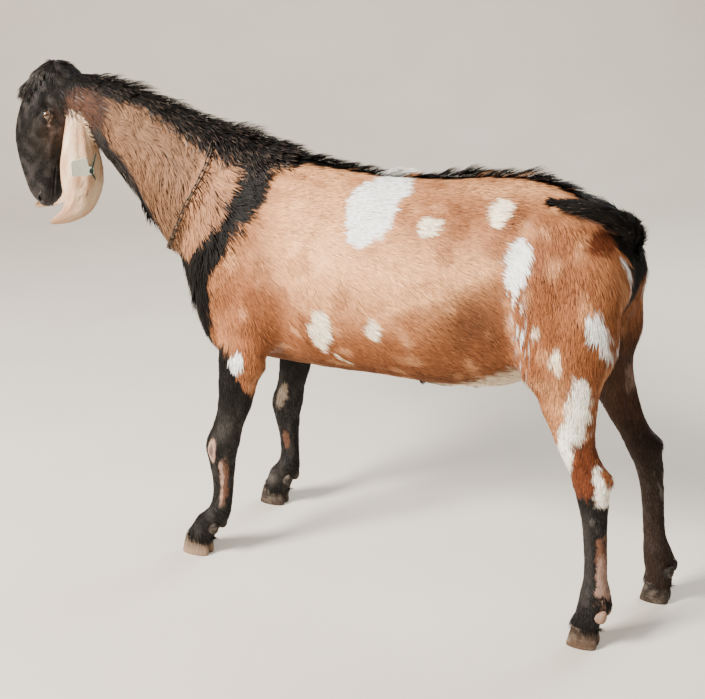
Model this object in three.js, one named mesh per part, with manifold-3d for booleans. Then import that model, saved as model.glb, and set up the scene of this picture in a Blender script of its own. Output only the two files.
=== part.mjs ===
// A nubian goat, standing on four feet with its head turned to its left and held nose down.
// Millimetres. +X is towards the head, +Y is the goat's left and +Z is up. The soles are at height 0.
import * as THREE from 'three';
import { mergeVertices } from 'three/addons/utils/BufferGeometryUtils.js';
import Module from 'manifold-3d';

const wasm = await Module();
wasm.setup();

// Driving dimensions
const gap = 0.3; // between two nodes that meet
const coronetHeight = 44; // where the leg ends and the hoof begins
const headPlace = [803, 46, 1008]; // middle of the poll
const headTurn = 50; // degrees to the goat's left
const headPitch = 81.5; // degrees of the face below level
const eyeAlongFace = 84; // from the poll to the eye, along the face
const eyeAboveAxis = 14; // from the head's middle line towards the forehead
const eyeFromMiddle = 44.5;
const eyeRadius = 14.5;
const mouthBelowAxis = 13;
const mouthCorner = 196; // from the poll to the corner of the mouth
const earThickness = 5;
const chainPitch = 16.4; // from one link of the collar to the next
const chainWire = 1.8; // half thickness of its wire
const chainClearance = 8.2; // from the line of the chain to the neck under it
const tagThickness = 1.8;

// Torso sections from the breast to the rump: place along the goat, heights of the back, of the
// widest line and of the belly, half width, then the fullness of the upper and the lower curve,
// where 2 is an ellipse, less is a ridge and more is boxy.
const torsoRows = [
  [454, 606, 556, 500, 34, 2, 2],
  [432, 716, 575, 460, 82, 2, 2],
  [385, 806, 595, 437, 110, 1.9, 2],
  [310, 866, 612, 430, 124, 1.7, 2.1],
  [225, 868, 620, 430, 136, 1.7, 2.2],
  [125, 856, 624, 433, 151, 1.8, 2.2],
  [15, 848, 628, 438, 163, 1.9, 2.2],
  [-90, 853, 636, 439, 165, 1.9, 2.2],
  [-180, 863, 652, 440, 154, 1.9, 2],
  [-255, 864, 672, 458, 140, 1.9, 2],
  [-325, 852, 692, 508, 126, 2, 2],
  [-385, 829, 702, 575, 114, 2.1, 2],
  [-435, 796, 706, 612, 92, 2.1, 2],
  [-464, 762, 706, 645, 58, 2, 2],
];

// Neck sections from the shoulders to the head: place, side shift and height of the middle,
// backward lean of the section in degrees, extents up, down and sideways, fullness above and below.
const neckRows = [
  [330, 0, 672, 17, 200, 205, 108, 1.8, 2],
  [394, 0, 722, 17, 182, 192, 102, 1.7, 2],
  [458, 0, 778, 16, 139, 170, 94, 1.6, 2],
  [522, 2, 826, 15, 111, 143, 82, 1.6, 2],
  [586, 6, 868, 12, 95, 120, 71, 1.7, 2],
  [646, 14, 903, 6, 85, 101, 61, 1.8, 2],
  [702, 25, 930, -4, 73, 84, 54, 2, 2],
  [750, 38, 949, -14, 62, 70, 48, 2, 2],
  [786, 50, 962, -22, 42, 50, 38, 2, 2],
];

// Head sections from behind the poll to the nose: distance along the face, extents to the forehead
// side, to the jaw side and sideways, fullness on the forehead side and on the jaw side.
const headRows = [
  [-26, 16, 42, 34, 2, 2],
  [0, 36, 62, 46, 2.2, 2],
  [34, 55, 78, 53, 2.4, 1.9],
  [70, 63, 84, 56, 2.5, 1.7],
  [104, 68, 76, 56, 2.3, 1.6],
  [140, 69, 61, 46, 2.1, 1.7],
  [175, 63, 49, 37, 2.1, 1.9],
  [208, 53, 41, 32, 2.2, 2.1],
  [238, 41, 37, 30, 2.3, 2.2],
  [262, 29, 33, 29, 2.3, 2.2],
  [280, 13, 24, 21, 2.1, 2],
];

// Paths of the legs from inside the body down to the coronet: height, place along and across.
const legPaths = {
  fore_left: [
    [600, 298, 68], [540, 298, 99], [470, 298, 124], [365, 312, 135], [270, 342, 138],
    [225, 346, 139], [160, 347, 140], [116, 356, 141], [84, 382, 142], [44, 405, 144],
  ],
  fore_right: [
    [600, 298, -68], [540, 298, -97], [470, 300, -120], [365, 318, -133], [270, 341, -139],
    [225, 345, -142], [160, 343, -145], [116, 346, -146], [84, 364, -147], [44, 380, -149],
  ],
  hind_left: [
    [790, -345, 44], [700, -378, 76], [600, -386, 94], [500, -384, 105], [410, -406, 114],
    [338, -440, 119], [265, -456, 121], [150, -466, 123], [92, -467, 126], [44, -456, 130],
  ],
  hind_right: [
    [790, -348, -44], [700, -378, -74], [600, -385, -88], [500, -394, -96], [395, -446, -100],
    [310, -494, -101], [250, -512, -101], [150, -524, -101], [92, -536, -101], [44, -541, -101],
  ],
};

// Girth of a leg down its height: height, extents forward, backward and sideways.
const foreGirth = [
  [600, 72, 72, 40], [540, 66, 64, 42], [480, 58, 55, 40], [420, 48, 45, 35], [365, 40, 39, 31],
  [315, 35, 35, 29], [272, 38, 37, 31], [235, 33, 33, 27], [190, 25, 26, 21], [140, 23, 24, 19],
  [108, 27, 28, 23], [86, 32, 35, 26], [60, 33, 33, 26], [44, 33, 32, 26],
];
const hindGirth = [
  [790, 56, 62, 40], [720, 116, 92, 60], [650, 122, 88, 66], [580, 104, 86, 60], [520, 80, 72, 50],
  [465, 56, 57, 40], [415, 42, 44, 32], [375, 37, 39, 28], [338, 34, 42, 26], [300, 31, 33, 24],
  [260, 26, 26, 20], [200, 23, 23, 18], [145, 23, 24, 18], [108, 28, 31, 23], [80, 29, 32, 24],
  [60, 29, 29, 23], [44, 29, 28, 23],
];
const forePawLength = 62;
const hindPawLength = 57;
const clawWidth = 22;
const clawSplay = 5; // degrees that the two claws of a foot part
const dewclawHeight = 74;

// Colours of the coat, the horn of the hooves and what the goat wears
const tan = 0xd9a884;
const blackHair = 0x1c1816;
const creamSkin = 0xc8ab94;
const hoofHorn = 0x8e7d6c;
const eyeAmber = 0x6b4a22;
const chainMetal = 0x5a4a3c;
const tagPlastic = 0xcfe4d4;

// Solids
function solidOf(geometry) {
  const bare = geometry.index ? geometry.toNonIndexed() : geometry.clone();
  bare.deleteAttribute('normal');
  bare.deleteAttribute('uv');
  const merged = mergeVertices(bare, 1e-3);
  const mesh = new wasm.Mesh({
    numProp: 3,
    vertProperties: new Float32Array(merged.attributes.position.array),
    triVerts: new Uint32Array(merged.index.array),
  });
  return new wasm.Manifold(mesh);
}

function signedVolume(points, triangles) {
  let sum = 0;
  for (const [i, j, k] of triangles) {
    sum += points[i].dot(new THREE.Vector3().crossVectors(points[j], points[k]));
  }
  return sum / 6;
}

function trianglesToSolid(points, triangles) {
  const outward = signedVolume(points, triangles) > 0;
  const faces = outward ? triangles : triangles.map(([i, j, k]) => [i, k, j]);
  const mesh = new wasm.Mesh({
    numProp: 3,
    vertProperties: new Float32Array(points.flatMap((p) => p.toArray())),
    triVerts: new Uint32Array(faces.flat()),
  });
  return new wasm.Manifold(mesh);
}

// A closed solid through rings of equal count, with a point in the middle of each end.
function ringSolid(rings, bulge = 0) {
  const sides = rings[0].length;
  const points = rings.flat();
  const triangles = [];
  for (let r = 0; r + 1 < rings.length; r += 1) {
    for (let s = 0; s < sides; s += 1) {
      const a = r * sides + s;
      const b = r * sides + ((s + 1) % sides);
      triangles.push([a, b, b + sides], [a, b + sides, a + sides]);
    }
  }
  const middle = (ring) => ring.reduce((sum, p) => sum.add(p), new THREE.Vector3()).divideScalar(sides);
  const firstMiddle = middle(rings[0]);
  const lastMiddle = middle(rings[rings.length - 1]);
  const firstOut = firstMiddle.clone().sub(middle(rings[1])).setLength(bulge);
  const lastOut = lastMiddle.clone().sub(middle(rings[rings.length - 2])).setLength(bulge);
  points.push(firstMiddle.add(firstOut), lastMiddle.add(lastOut));
  const lastRing = (rings.length - 1) * sides;
  for (let s = 0; s < sides; s += 1) {
    const next = (s + 1) % sides;
    triangles.push([next, s, points.length - 2]);
    triangles.push([lastRing + s, lastRing + next, points.length - 1]);
  }
  return trianglesToSolid(points, triangles);
}

// The same round a bent sheet, whose rings run along one face and back along the other.
function sheetSolid(rings) {
  const sides = rings[0].length;
  const triangles = [];
  for (let r = 0; r + 1 < rings.length; r += 1) {
    for (let s = 0; s < sides; s += 1) {
      const a = r * sides + s;
      const b = r * sides + ((s + 1) % sides);
      triangles.push([a, b, b + sides], [a, b + sides, a + sides]);
    }
  }
  const lastRing = (rings.length - 1) * sides;
  for (let s = 0; s + 1 < sides / 2; s += 1) {
    const [near, next, far, farNext] = [s, s + 1, sides - 1 - s, sides - 2 - s];
    triangles.push([next, near, far], [next, far, farNext]);
    triangles.push([near, next, far].map((i) => i + lastRing));
    triangles.push([next, farNext, far].map((i) => i + lastRing));
  }
  return trianglesToSolid(rings.flat(), triangles);
}

function join(solids) {
  return wasm.Manifold.union(solids);
}

function largestBody(solid) {
  const pieces = solid.decompose();
  return pieces.reduce((best, piece) => (piece.volume() > best.volume() ? piece : best));
}

// Numbers of a table of rows at a place between two rows, on a smooth curve through all of them.
function rowAt(rows, place) {
  const last = rows.length - 1;
  const index = Math.min(Math.floor(place), last - 1);
  const f = place - index;
  const [a, b, c, d] = [-1, 0, 1, 2].map((k) => rows[THREE.MathUtils.clamp(index + k, 0, last)]);
  return b.map((value, k) => {
    const slopeIn = (c[k] - a[k]) / 2;
    const slopeOut = (d[k] - value) / 2;
    const curve = (2 * f ** 3 - 3 * f ** 2 + 1) * value + (f ** 3 - 2 * f ** 2 + f) * slopeIn;
    return curve + (3 * f ** 2 - 2 * f ** 3) * c[k] + (f ** 3 - f ** 2) * slopeOut;
  });
}

// Where a falling table of heights reaches one height, as a place between two rows.
function placeOfHeight(rows, height) {
  for (let i = 0; i + 1 < rows.length; i += 1) {
    if (height >= rows[i + 1][0]) {
      return i + THREE.MathUtils.clamp((rows[i][0] - height) / (rows[i][0] - rows[i + 1][0]), 0, 1);
    }
  }
  return rows.length - 1;
}

// Upward and sideways offset of a section at an angle from its top.
function sectionOffset(angle, top, bottom, half, crest, keel) {
  const up = Math.cos(angle);
  const side = Math.sin(angle);
  const fullness = up > 0 ? crest : keel;
  const rise = Math.abs(up) ** (2 / fullness) * (up > 0 ? top : -bottom);
  return [rise, Math.sign(side) * Math.abs(side) ** (2 / fullness) * half];
}

function torsoPoint(place, angle) {
  const [x, back, widest, belly, half, crest, keel] = rowAt(torsoRows, place);
  const [rise, side] = sectionOffset(angle, back - widest, widest - belly, half, crest, keel);
  return new THREE.Vector3(x, side, widest + rise);
}

function neckPoint(place, angle, grow = 0) {
  const [x, y, z, lean, up, down, half, crest, keel] = rowAt(neckRows, place);
  const [rise, side] = sectionOffset(angle, up + grow, down + grow, half + grow, crest, keel);
  const tilt = THREE.MathUtils.degToRad(lean);
  return new THREE.Vector3(x - rise * Math.sin(tilt), y + side, z + rise * Math.cos(tilt));
}

// The head's own directions: along the face, out of the forehead and to its left.
const turn = THREE.MathUtils.degToRad(headTurn);
const pitch = THREE.MathUtils.degToRad(headPitch);
const headStart = new THREE.Vector3(...headPlace);
const faceWay = new THREE.Vector3(
  Math.cos(pitch) * Math.cos(turn), Math.cos(pitch) * Math.sin(turn), -Math.sin(pitch));
const browWay = new THREE.Vector3(
  Math.sin(pitch) * Math.cos(turn), Math.sin(pitch) * Math.sin(turn), Math.cos(pitch));
const leftWay = new THREE.Vector3(-Math.sin(turn), Math.cos(turn), 0);

function headPlaceOf(along, above, left) {
  return headStart.clone().addScaledVector(faceWay, along)
    .addScaledVector(browWay, above).addScaledVector(leftWay, left);
}

function headPoint(place, angle, grow = 0) {
  const [along, top, bottom, half, crest, keel] = rowAt(headRows, place);
  const [rise, side] = sectionOffset(angle, top + grow, bottom + grow, half + grow, crest, keel);
  return headPlaceOf(along, rise, side);
}

function legPoint(path, girth, height, angle) {
  const [, x, y] = rowAt(path, placeOfHeight(path, height));
  const [, front, back, half] = rowAt(girth, placeOfHeight(girth, height));
  const along = Math.cos(angle);
  const reach = along > 0 ? front : back;
  return new THREE.Vector3(x + along * reach, y + Math.sin(angle) * half, height);
}

function ringsOf(count, sides, pointAt) {
  const rings = [];
  for (let r = 0; r < count; r += 1) {
    const ring = [];
    for (let s = 0; s < sides; s += 1) {
      ring.push(pointAt(r / (count - 1), (s / sides) * 2 * Math.PI));
    }
    rings.push(ring);
  }
  return rings;
}

function torsoSolid() {
  const lastRow = torsoRows.length - 1;
  return ringSolid(ringsOf(20, 18, (f, a) => torsoPoint(f * lastRow, a)), 10);
}

function neckSolid() {
  const lastRow = neckRows.length - 1;
  return ringSolid(ringsOf(12, 18, (f, a) => neckPoint(f * lastRow, a)), 4);
}

function headSolid(grow = 0) {
  const lastRow = headRows.length - 1;
  return ringSolid(ringsOf(18, 18, (f, a) => headPoint(f * lastRow, a, grow)), 6 + grow);
}

function legSolid(name) {
  const girth = name.startsWith('fore') ? foreGirth : hindGirth;
  const path = legPaths[name];
  const top = path[0][0];
  const lastPlace = girth.length - 1;
  const rings = ringsOf(18, 10, (f, a) => {
    const height = THREE.MathUtils.clamp(rowAt(girth, f * lastPlace)[0], coronetHeight, top);
    return legPoint(path, girth, height, a);
  });
  return ringSolid(rings);
}

// The flat of the shoulder, from the withers forward and down to its point.
function shoulderSolid(side) {
  const blade = new THREE.SphereGeometry(1, 14, 12);
  blade.scale(94, 44, 170);
  blade.rotateX(THREE.MathUtils.degToRad(side * 9));
  blade.rotateY(THREE.MathUtils.degToRad(-20));
  blade.translate(306, side * 80, 628);
  return solidOf(blade);
}

// One claw of a hoof: a flat sole, walls that lean back to the coronet and a rounded toe.
function clawSolid(legName, side) {
  const fore = legName.startsWith('fore');
  const length = fore ? forePawLength : hindPawLength;
  const path = legPaths[legName];
  const [, x, y] = path[path.length - 1];
  const splay = THREE.MathUtils.degToRad(side * clawSplay);
  const levels = [
    // height, toe, heel and half width as shares of the sole
    [0, 1, 1, 1], [6, 0.98, 1, 1], [26, 0.84, 0.9, 0.98], [coronetHeight - gap, 0.68, 0.78, 0.9],
  ];
  const forward = fore ? 10 : 4;
  const rings = levels.map(([height, toe, heel, wide]) => {
    const ring = [];
    for (let s = 0; s < 12; s += 1) {
      const a = (s / 12) * 2 * Math.PI;
      const along = Math.cos(a) * length * 0.5 * (Math.cos(a) > 0 ? toe : heel);
      const fullness = Math.abs(Math.sin(a)) ** 0.8 * Math.sign(Math.sin(a));
      const across = fullness * clawWidth * 0.5 * wide + side * (clawWidth * 0.5 + 1.6);
      const forwardPlace = forward + along * Math.cos(splay) - across * Math.sin(splay);
      ring.push(new THREE.Vector3(x + forwardPlace, y + across + along * Math.sin(splay), height));
    }
    return ring;
  });
  return ringSolid(rings);
}

// A small horn bud behind the fetlock.
function dewclawSolid(legName, side, grow = 0) {
  const girth = legName.startsWith('fore') ? foreGirth : hindGirth;
  const back = legPoint(legPaths[legName], girth, dewclawHeight, Math.PI - side * 0.75);
  const bud = new THREE.SphereGeometry(1, 8, 5);
  bud.scale(11 + grow, 9 + grow, 15 + grow);
  bud.rotateY(THREE.MathUtils.degToRad(-28));
  bud.translate(back.x - 2, back.y, back.z);
  return solidOf(bud);
}

// An eyeball set in the side of the head.
function eyeCentre(side) {
  return headPlaceOf(eyeAlongFace, eyeAboveAxis, side * eyeFromMiddle);
}

function ballSolid(centre, radius, across = 12) {
  const ball = new THREE.SphereGeometry(radius, across, across / 2);
  ball.translate(...centre.toArray());
  return solidOf(ball);
}

// Lids: a dome over the eyeball, open along a pointed slit.
function lidSolid(side) {
  const dome = ballSolid(eyeCentre(side), eyeRadius + 2.6, 14);
  const slit = new THREE.Shape();
  const long = 12.5;
  slit.moveTo(-long, 0);
  slit.quadraticCurveTo(0, 16, long, -1);
  slit.quadraticCurveTo(0, -13, -long, 0);
  const opening = new THREE.ExtrudeGeometry(slit, { depth: 40, bevelEnabled: false, curveSegments: 4 });
  const basis = new THREE.Matrix4();
  const outWay = leftWay.clone().multiplyScalar(side).addScaledVector(browWay, 0.32)
    .addScaledVector(faceWay, -0.1).normalize();
  const slitWay = faceWay.clone().addScaledVector(outWay, -faceWay.dot(outWay)).normalize();
  const upWay = new THREE.Vector3().crossVectors(outWay, slitWay);
  basis.makeBasis(slitWay, upWay, outWay);
  basis.setPosition(eyeCentre(side));
  opening.applyMatrix4(basis);
  return dome.subtract(solidOf(opening));
}

// A box in the head's own directions.
function headBox(along, above, size) {
  const box = new THREE.BoxGeometry(...size);
  box.applyMatrix4(new THREE.Matrix4().makeBasis(faceWay, leftWay, browWay));
  box.translate(...headPlaceOf(along, above, 0).toArray());
  return solidOf(box);
}

// The line of the mouth is a cut that stops inside the lips, and the lips stand out along it.
function lipSolid() {
  const band = headBox(mouthCorner + 52, -mouthBelowAxis, [100, 120, 19]);
  return headSolid(2.4).intersect(band);
}

function mouthSolid() {
  const slab = headBox(mouthCorner + 60, -mouthBelowAxis, [120, 120, 1.4]);
  return slab.subtract(headSolid(-8));
}

// A nostril is a slanted comma, with a raised rim round it.
function nostrilSolid(side, grow) {
  const hollow = new THREE.SphereGeometry(1, 8, 5);
  hollow.scale(9 + grow, 4 + grow, 7 + grow);
  hollow.rotateX(THREE.MathUtils.degToRad(side * 28));
  hollow.rotateY(THREE.MathUtils.degToRad(-32));
  hollow.applyMatrix4(new THREE.Matrix4().makeBasis(faceWay, leftWay, browWay));
  const depth = grow > 0 ? 16 : 19;
  hollow.translate(...headPlaceOf(268, 15, side * depth).toArray());
  return solidOf(hollow);
}

// The sheath, a low fold of skin along the middle of the belly.
function sheathSolid() {
  const fold = new THREE.SphereGeometry(1, 12, 8);
  fold.scale(78, 20, 15);
  fold.rotateY(THREE.MathUtils.degToRad(-2));
  fold.translate(-108, 0, 440);
  return solidOf(fold);
}

// A hanging ear: a long curved leaf, rolled at its root, with its tip drawn forward.
// Places are in the head's turned directions: forward, to its side and up, from the poll.
const forwardWay = new THREE.Vector3(Math.cos(turn), Math.sin(turn), 0);
const upWay = new THREE.Vector3(0, 0, 1);
const earRows = [
  // forward, sideways, up, half width, degrees that half the width bends round, turn of the leaf
  [-30, 50, -50, 20, 122, 0],
  [-30, 73, -66, 28, 98, 0],
  [-31, 90, -96, 34, 72, 0],
  [-31, 98, -138, 43, 58, 0],
  [-31, 101, -184, 51, 48, 0],
  [-29, 103, -226, 50, 44, 0],
  [-17, 104, -264, 38, 40, 0],
  [9, 102, -288, 20, 34, 0],
  [46, 98, -302, 5, 20, 0],
];

function earSheetPoint(side, place, across, raise) {
  const [forward, out, up, half, bendDegrees, turnDegrees] = rowAt(earRows, place);
  const bend = THREE.MathUtils.degToRad(bendDegrees);
  const radius = half / bend;
  const angle = across * bend;
  const flat = radius * Math.sin(angle);
  const depth = radius * (Math.cos(angle) - 1);
  const [aheadForward, , aheadUp] = rowAt(earRows, Math.min(place + 0.05, earRows.length - 1));
  const [behindForward, , behindUp] = rowAt(earRows, Math.max(place - 0.05, 0));
  const downWay = new THREE.Vector2(aheadForward - behindForward, aheadUp - behindUp).normalize();
  const acrossForward = -downWay.y;
  const acrossUp = downWay.x;
  const swing = THREE.MathUtils.degToRad(turnDegrees);
  const normalOut = Math.cos(swing);
  const normalForward = -Math.sin(swing);
  const lift = depth + raise;
  return headStart.clone()
    .addScaledVector(forwardWay, forward + flat * acrossForward * Math.cos(swing) + lift * normalForward)
    .addScaledVector(leftWay, side * (out + flat * Math.sin(swing) + lift * normalOut))
    .addScaledVector(upWay, up + flat * acrossUp);
}

function earSolid(side, grow = 0) {
  const lengthSteps = 12;
  const acrossSteps = 6;
  const rings = [];
  for (let i = 0; i <= lengthSteps; i += 1) {
    const place = (i / lengthSteps) * (earRows.length - 1);
    const thin = earThickness * (1 - 0.55 * (i / lengthSteps)) * 0.5 + grow;
    const ring = [];
    for (let j = 0; j <= acrossSteps; j += 1) {
      ring.push(earSheetPoint(side, place, (j / acrossSteps) * 2 - 1, thin));
    }
    for (let j = acrossSteps; j >= 0; j -= 1) {
      ring.push(earSheetPoint(side, place, (j / acrossSteps) * 2 - 1, -thin));
    }
    rings.push(ring);
  }
  return sheetSolid(rings);
}

// The tail: carried up from the end of the croup and flicked forward over the near side.
const tailRows = [
  // place along, across, height, half width of the hair
  [-420, 0, 752, 22], [-452, 5, 766, 25], [-468, 21, 786, 25], [-456, 44, 806, 24],
  [-425, 65, 824, 22], [-380, 84, 837, 17], [-335, 95, 842, 5],
];

function tailSolid(grow = 0) {
  const last = tailRows.length - 1;
  return ringSolid(ringsOf(14, 9, (f, a) => {
    const place = f * last;
    const here = rowAt(tailRows, place);
    const ahead = rowAt(tailRows, Math.min(place + 0.1, last));
    const behind = rowAt(tailRows, Math.max(place - 0.1, 0));
    const way = new THREE.Vector3(ahead[0] - behind[0], ahead[1] - behind[1], ahead[2] - behind[2]);
    way.normalize();
    const sideWay = new THREE.Vector3(0, 1, 0).addScaledVector(way, -way.y).normalize();
    const thickWay = new THREE.Vector3().crossVectors(way, sideWay);
    const radius = here[3] + grow;
    return new THREE.Vector3(here[0], here[1], here[2])
      .addScaledVector(sideWay, Math.cos(a) * radius)
      .addScaledVector(thickWay, Math.sin(a) * radius * 0.7);
  }));
}

// The collar: a loose chain round the base of the neck, low on the throat and high on the crest.
const collarRows = [
  // degrees round the neck from the crest, place along the neck
  [0, 1.99], [33, 1.68], [55, 1.54], [83, 1.66], [106, 1.84], [152, 2.4], [180, 2.62],
];

function collarPoint(share) {
  const angle = share * 2 * Math.PI;
  const degrees = Math.abs(THREE.MathUtils.radToDeg(angle > Math.PI ? angle - 2 * Math.PI : angle));
  const row = placeOfHeight(collarRows.map(([turned]) => [-turned]), -degrees);
  const overCrest = 3 * Math.max(0, Math.cos(angle)) ** 16;
  return neckPoint(rowAt(collarRows, row)[1], angle, chainClearance + overCrest);
}

function collarPath(count) {
  const curve = new THREE.CatmullRomCurve3(
    Array.from({ length: 72 }, (_, i) => collarPoint(i / 72)), true);
  const length = curve.getLength();
  const links = count ?? 2 * Math.round(length / chainPitch / 2);
  return Array.from({ length: links }, (_, i) => [curve.getPointAt(i / links), curve.getTangentAt(i / links)]);
}

const linkCorners = 4;

// One link: a ring of wire, longer than wide, rolled about the line of the chain.
function linkSolid(centre, way, outWay, roll, long, wide) {
  const flatWay = new THREE.Vector3().crossVectors(way, outWay).normalize().applyAxisAngle(way, roll);
  const thickWay = new THREE.Vector3().crossVectors(way, flatWay);
  const points = [];
  const triangles = [];
  for (let i = 0; i < linkCorners; i += 1) {
    const a = ((i + 0.5) / linkCorners) * 2 * Math.PI;
    for (let j = 0; j < 3; j += 1) {
      const b = (j / 3) * 2 * Math.PI;
      const outward = chainWire * Math.cos(b);
      points.push(centre.clone()
        .addScaledVector(way, Math.cos(a) * (long + outward))
        .addScaledVector(flatWay, Math.sin(a) * (wide + outward))
        .addScaledVector(thickWay, chainWire * Math.sin(b)));
      const next = ((i + 1) % linkCorners) * 3;
      const other = (j + 1) % 3;
      triangles.push([i * 3 + j, next + j, next + other], [i * 3 + j, next + other, i * 3 + other]);
    }
  }
  return trianglesToSolid(points, triangles);
}

function chainSolid() {
  const path = collarPath();
  const neckMiddle = new THREE.Vector3(450, 0, 780);
  const links = path.map(([centre, way], i) => {
    const outWay = centre.clone().sub(neckMiddle);
    return linkSolid(centre, way, outWay, (i % 2 ? 1 : -1) * Math.PI / 4, 12.7, 6);
  });
  // A larger ring hangs from the chain at the throat.
  const lowest = path[path.length / 2][0].clone().add(new THREE.Vector3(0, 0, -8));
  const ring = linkSolid(lowest, new THREE.Vector3(0, 0, 1), new THREE.Vector3(1, 0, 0), 0, 12, 12);
  return join([...links, ring]);
}

// The room the chain needs in the hair.
function collarTube(radius) {
  const count = 48;
  const sides = 8;
  const points = collarPath(count).flatMap(([centre, way]) => {
    const sideWay = new THREE.Vector3(1, 0, 0).addScaledVector(way, -way.x).normalize();
    const otherWay = new THREE.Vector3().crossVectors(way, sideWay);
    return Array.from({ length: sides }, (_, s) => {
      const a = (s / sides) * 2 * Math.PI;
      return centre.clone().addScaledVector(sideWay, Math.cos(a) * radius)
        .addScaledVector(otherWay, Math.sin(a) * radius);
    });
  });
  const triangles = [];
  for (let i = 0; i < count * sides; i += 1) {
    const next = Math.floor(i / sides) * sides + ((i + 1) % sides);
    const ahead = (i + sides) % (count * sides);
    const aheadNext = (next + sides) % (count * sides);
    triangles.push([i, next, aheadNext], [i, aheadNext, ahead]);
  }
  return trianglesToSolid(points, triangles);
}

// The ear tag: a plate outside the left ear, held by a pin with a button inside the ear.
function tagSolid(grow = 0) {
  const [pinPlace, pinAcross] = [4.27, -0.3];
  const root = earSheetPoint(1, pinPlace, pinAcross, 0);
  const downWay = earSheetPoint(1, pinPlace + 0.1, pinAcross, 0).sub(root).normalize();
  const acrossWay = earSheetPoint(1, pinPlace, pinAcross + 0.1, 0).sub(root).normalize();
  const outWay = earSheetPoint(1, pinPlace, pinAcross, 4).sub(root).normalize();
  const basis = new THREE.Matrix4().makeBasis(acrossWay, downWay, outWay).setPosition(root);
  const outline = [[-7, -8], [5, -9], [10, -29], [42, -26], [43, 6], [12, 9], [5, 8], [-7, 7]];
  const shape = new THREE.Shape(outline.map(([across, down]) => new THREE.Vector2(across, down)));
  const plate = new THREE.ExtrudeGeometry(shape, { depth: tagThickness, bevelEnabled: false });
  plate.rotateY(THREE.MathUtils.degToRad(9));
  plate.translate(0, 0, 5.2);
  const pin = new THREE.CylinderGeometry(2.2 + grow, 2.2 + grow, 13, 8);
  pin.rotateX(Math.PI / 2);
  pin.translate(0, 0, 1);
  const button = new THREE.CylinderGeometry(6, 6, 1.6, 10);
  button.rotateX(Math.PI / 2);
  button.translate(0, 0, -5.2);
  const head = new THREE.CylinderGeometry(6, 6, 1.6, 10);
  head.rotateX(Math.PI / 2);
  head.translate(0, 0, 7.4);
  const pieces = grow > 0 ? [pin] : [plate, pin, button, head];
  return join(pieces.map((piece) => solidOf(piece.applyMatrix4(basis))));
}

// Hair
function randomFrom(seed) {
  let state = seed;
  return () => {
    state = (state + 0x6d2b79f5) | 0;
    let mixed = Math.imul(state ^ (state >>> 15), 1 | state);
    mixed = (mixed + Math.imul(mixed ^ (mixed >>> 7), 61 | mixed)) ^ mixed;
    return ((mixed ^ (mixed >>> 14)) >>> 0) / 4294967296;
  };
}

const random = randomFrom(17);
const vary = (spread) => 1 + (random() - 0.5) * spread;

// A lock of hair: flat, tapered and bent, leaving the skin along one way and ending along another.
// Its root is sunk into the flesh.
function lockSolid({ root, rise, lie, length, width, thick }) {
  const sink = 0.22 * length;
  const whole = length + sink;
  const across = new THREE.Vector3().crossVectors(rise, lie).normalize();
  const start = root.clone().addScaledVector(rise, -sink);
  const spine = (t) => start.clone().addScaledVector(rise, whole * (t - t * t / 2))
    .addScaledVector(lie, whole * t * t / 2);
  const points = [];
  for (const [t, wide] of [[0, 0.7], [0.42, 1], [0.76, 0.66]]) {
    const way = rise.clone().multiplyScalar(1 - t).addScaledVector(lie, t).normalize();
    const outward = new THREE.Vector3().crossVectors(across, way);
    const middle = spine(t);
    points.push(middle.clone().addScaledVector(across, -width * wide / 2));
    points.push(middle.clone().addScaledVector(outward, -thick * wide));
    points.push(middle.clone().addScaledVector(across, width * wide / 2));
  }
  points.push(spine(1));
  const triangles = [[0, 1, 2]];
  for (let r = 0; r < 2; r += 1) {
    for (let k = 0; k < 3; k += 1) {
      const [a, b] = [r * 3 + k, r * 3 + ((k + 1) % 3)];
      triangles.push([b, a, b + 3], [a, a + 3, b + 3]);
    }
  }
  triangles.push([7, 6, 9], [8, 7, 9], [6, 8, 9]);
  return trianglesToSolid(points, triangles);
}

// The skin's own directions at a spot: out of it, back towards the tail and down its side.
function skinFrame(pointAt, place, angle, tailward) {
  const root = pointAt(place, angle);
  const back = pointAt(place + 0.04 * tailward, angle).sub(root).normalize();
  const around = pointAt(place, angle + 0.02).sub(root).normalize();
  const out = new THREE.Vector3().crossVectors(around, back).normalize();
  return { root, back, out, down: around.multiplyScalar(angle < 0 ? -1 : 1) };
}

// A direction made of shares of out, back and down.
function blend({ out, back, down }, [outward, backward, downward]) {
  return out.clone().multiplyScalar(outward).addScaledVector(back, backward)
    .addScaledVector(down, downward).normalize();
}

function lockOn(frame, riseShares, lieShares, size) {
  const [length, width, thick] = size;
  return {
    root: frame.root,
    rise: blend(frame, riseShares),
    lie: blend(frame, lieShares),
    length: length * vary(0.3),
    width: width * vary(0.3),
    thick,
  };
}

// The mane stands up and leans back along the crest, tallest at the withers.
function maneLocks() {
  const locks = [];
  const count = 19;
  for (let i = 0; i < count; i += 1) {
    const place = 0.3 + (i / (count - 1)) * 6.8;
    const height = 45 - 6.4 * place + 0.68 * place * place;
    for (const row of [-1, 1]) {
      const frame = skinFrame(neckPoint, place + row * 0.09, row * 0.15, -1);
      const sideways = 0.16 + 0.2 * random();
      locks.push(lockOn(frame, [1, 0.1, sideways], [0.62, 0.8, sideways * 0.6], [height * 1.3, 19, 6]));
    }
  }
  return locks;
}

// The dark ridge of hair from the withers along the back.
function backLocks() {
  const locks = [];
  const count = 27;
  for (let i = 0; i < count; i += 1) {
    const place = 2.4 + (i / (count - 1)) * 9.6;
    const height = 13 + 30 * Math.max(0, 1 - (place - 2.4) / 2.6);
    const row = i % 2 ? 1 : -1;
    const frame = skinFrame(torsoPoint, place, row * 0.06, 1);
    const lift = height / 44;
    locks.push(lockOn(frame, [0.35 + lift, 0.9, 0.1], [0.1 + 0.5 * lift, 1, 0.12], [40 + height * 0.6, 24, 5.5]));
  }
  return locks;
}

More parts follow.
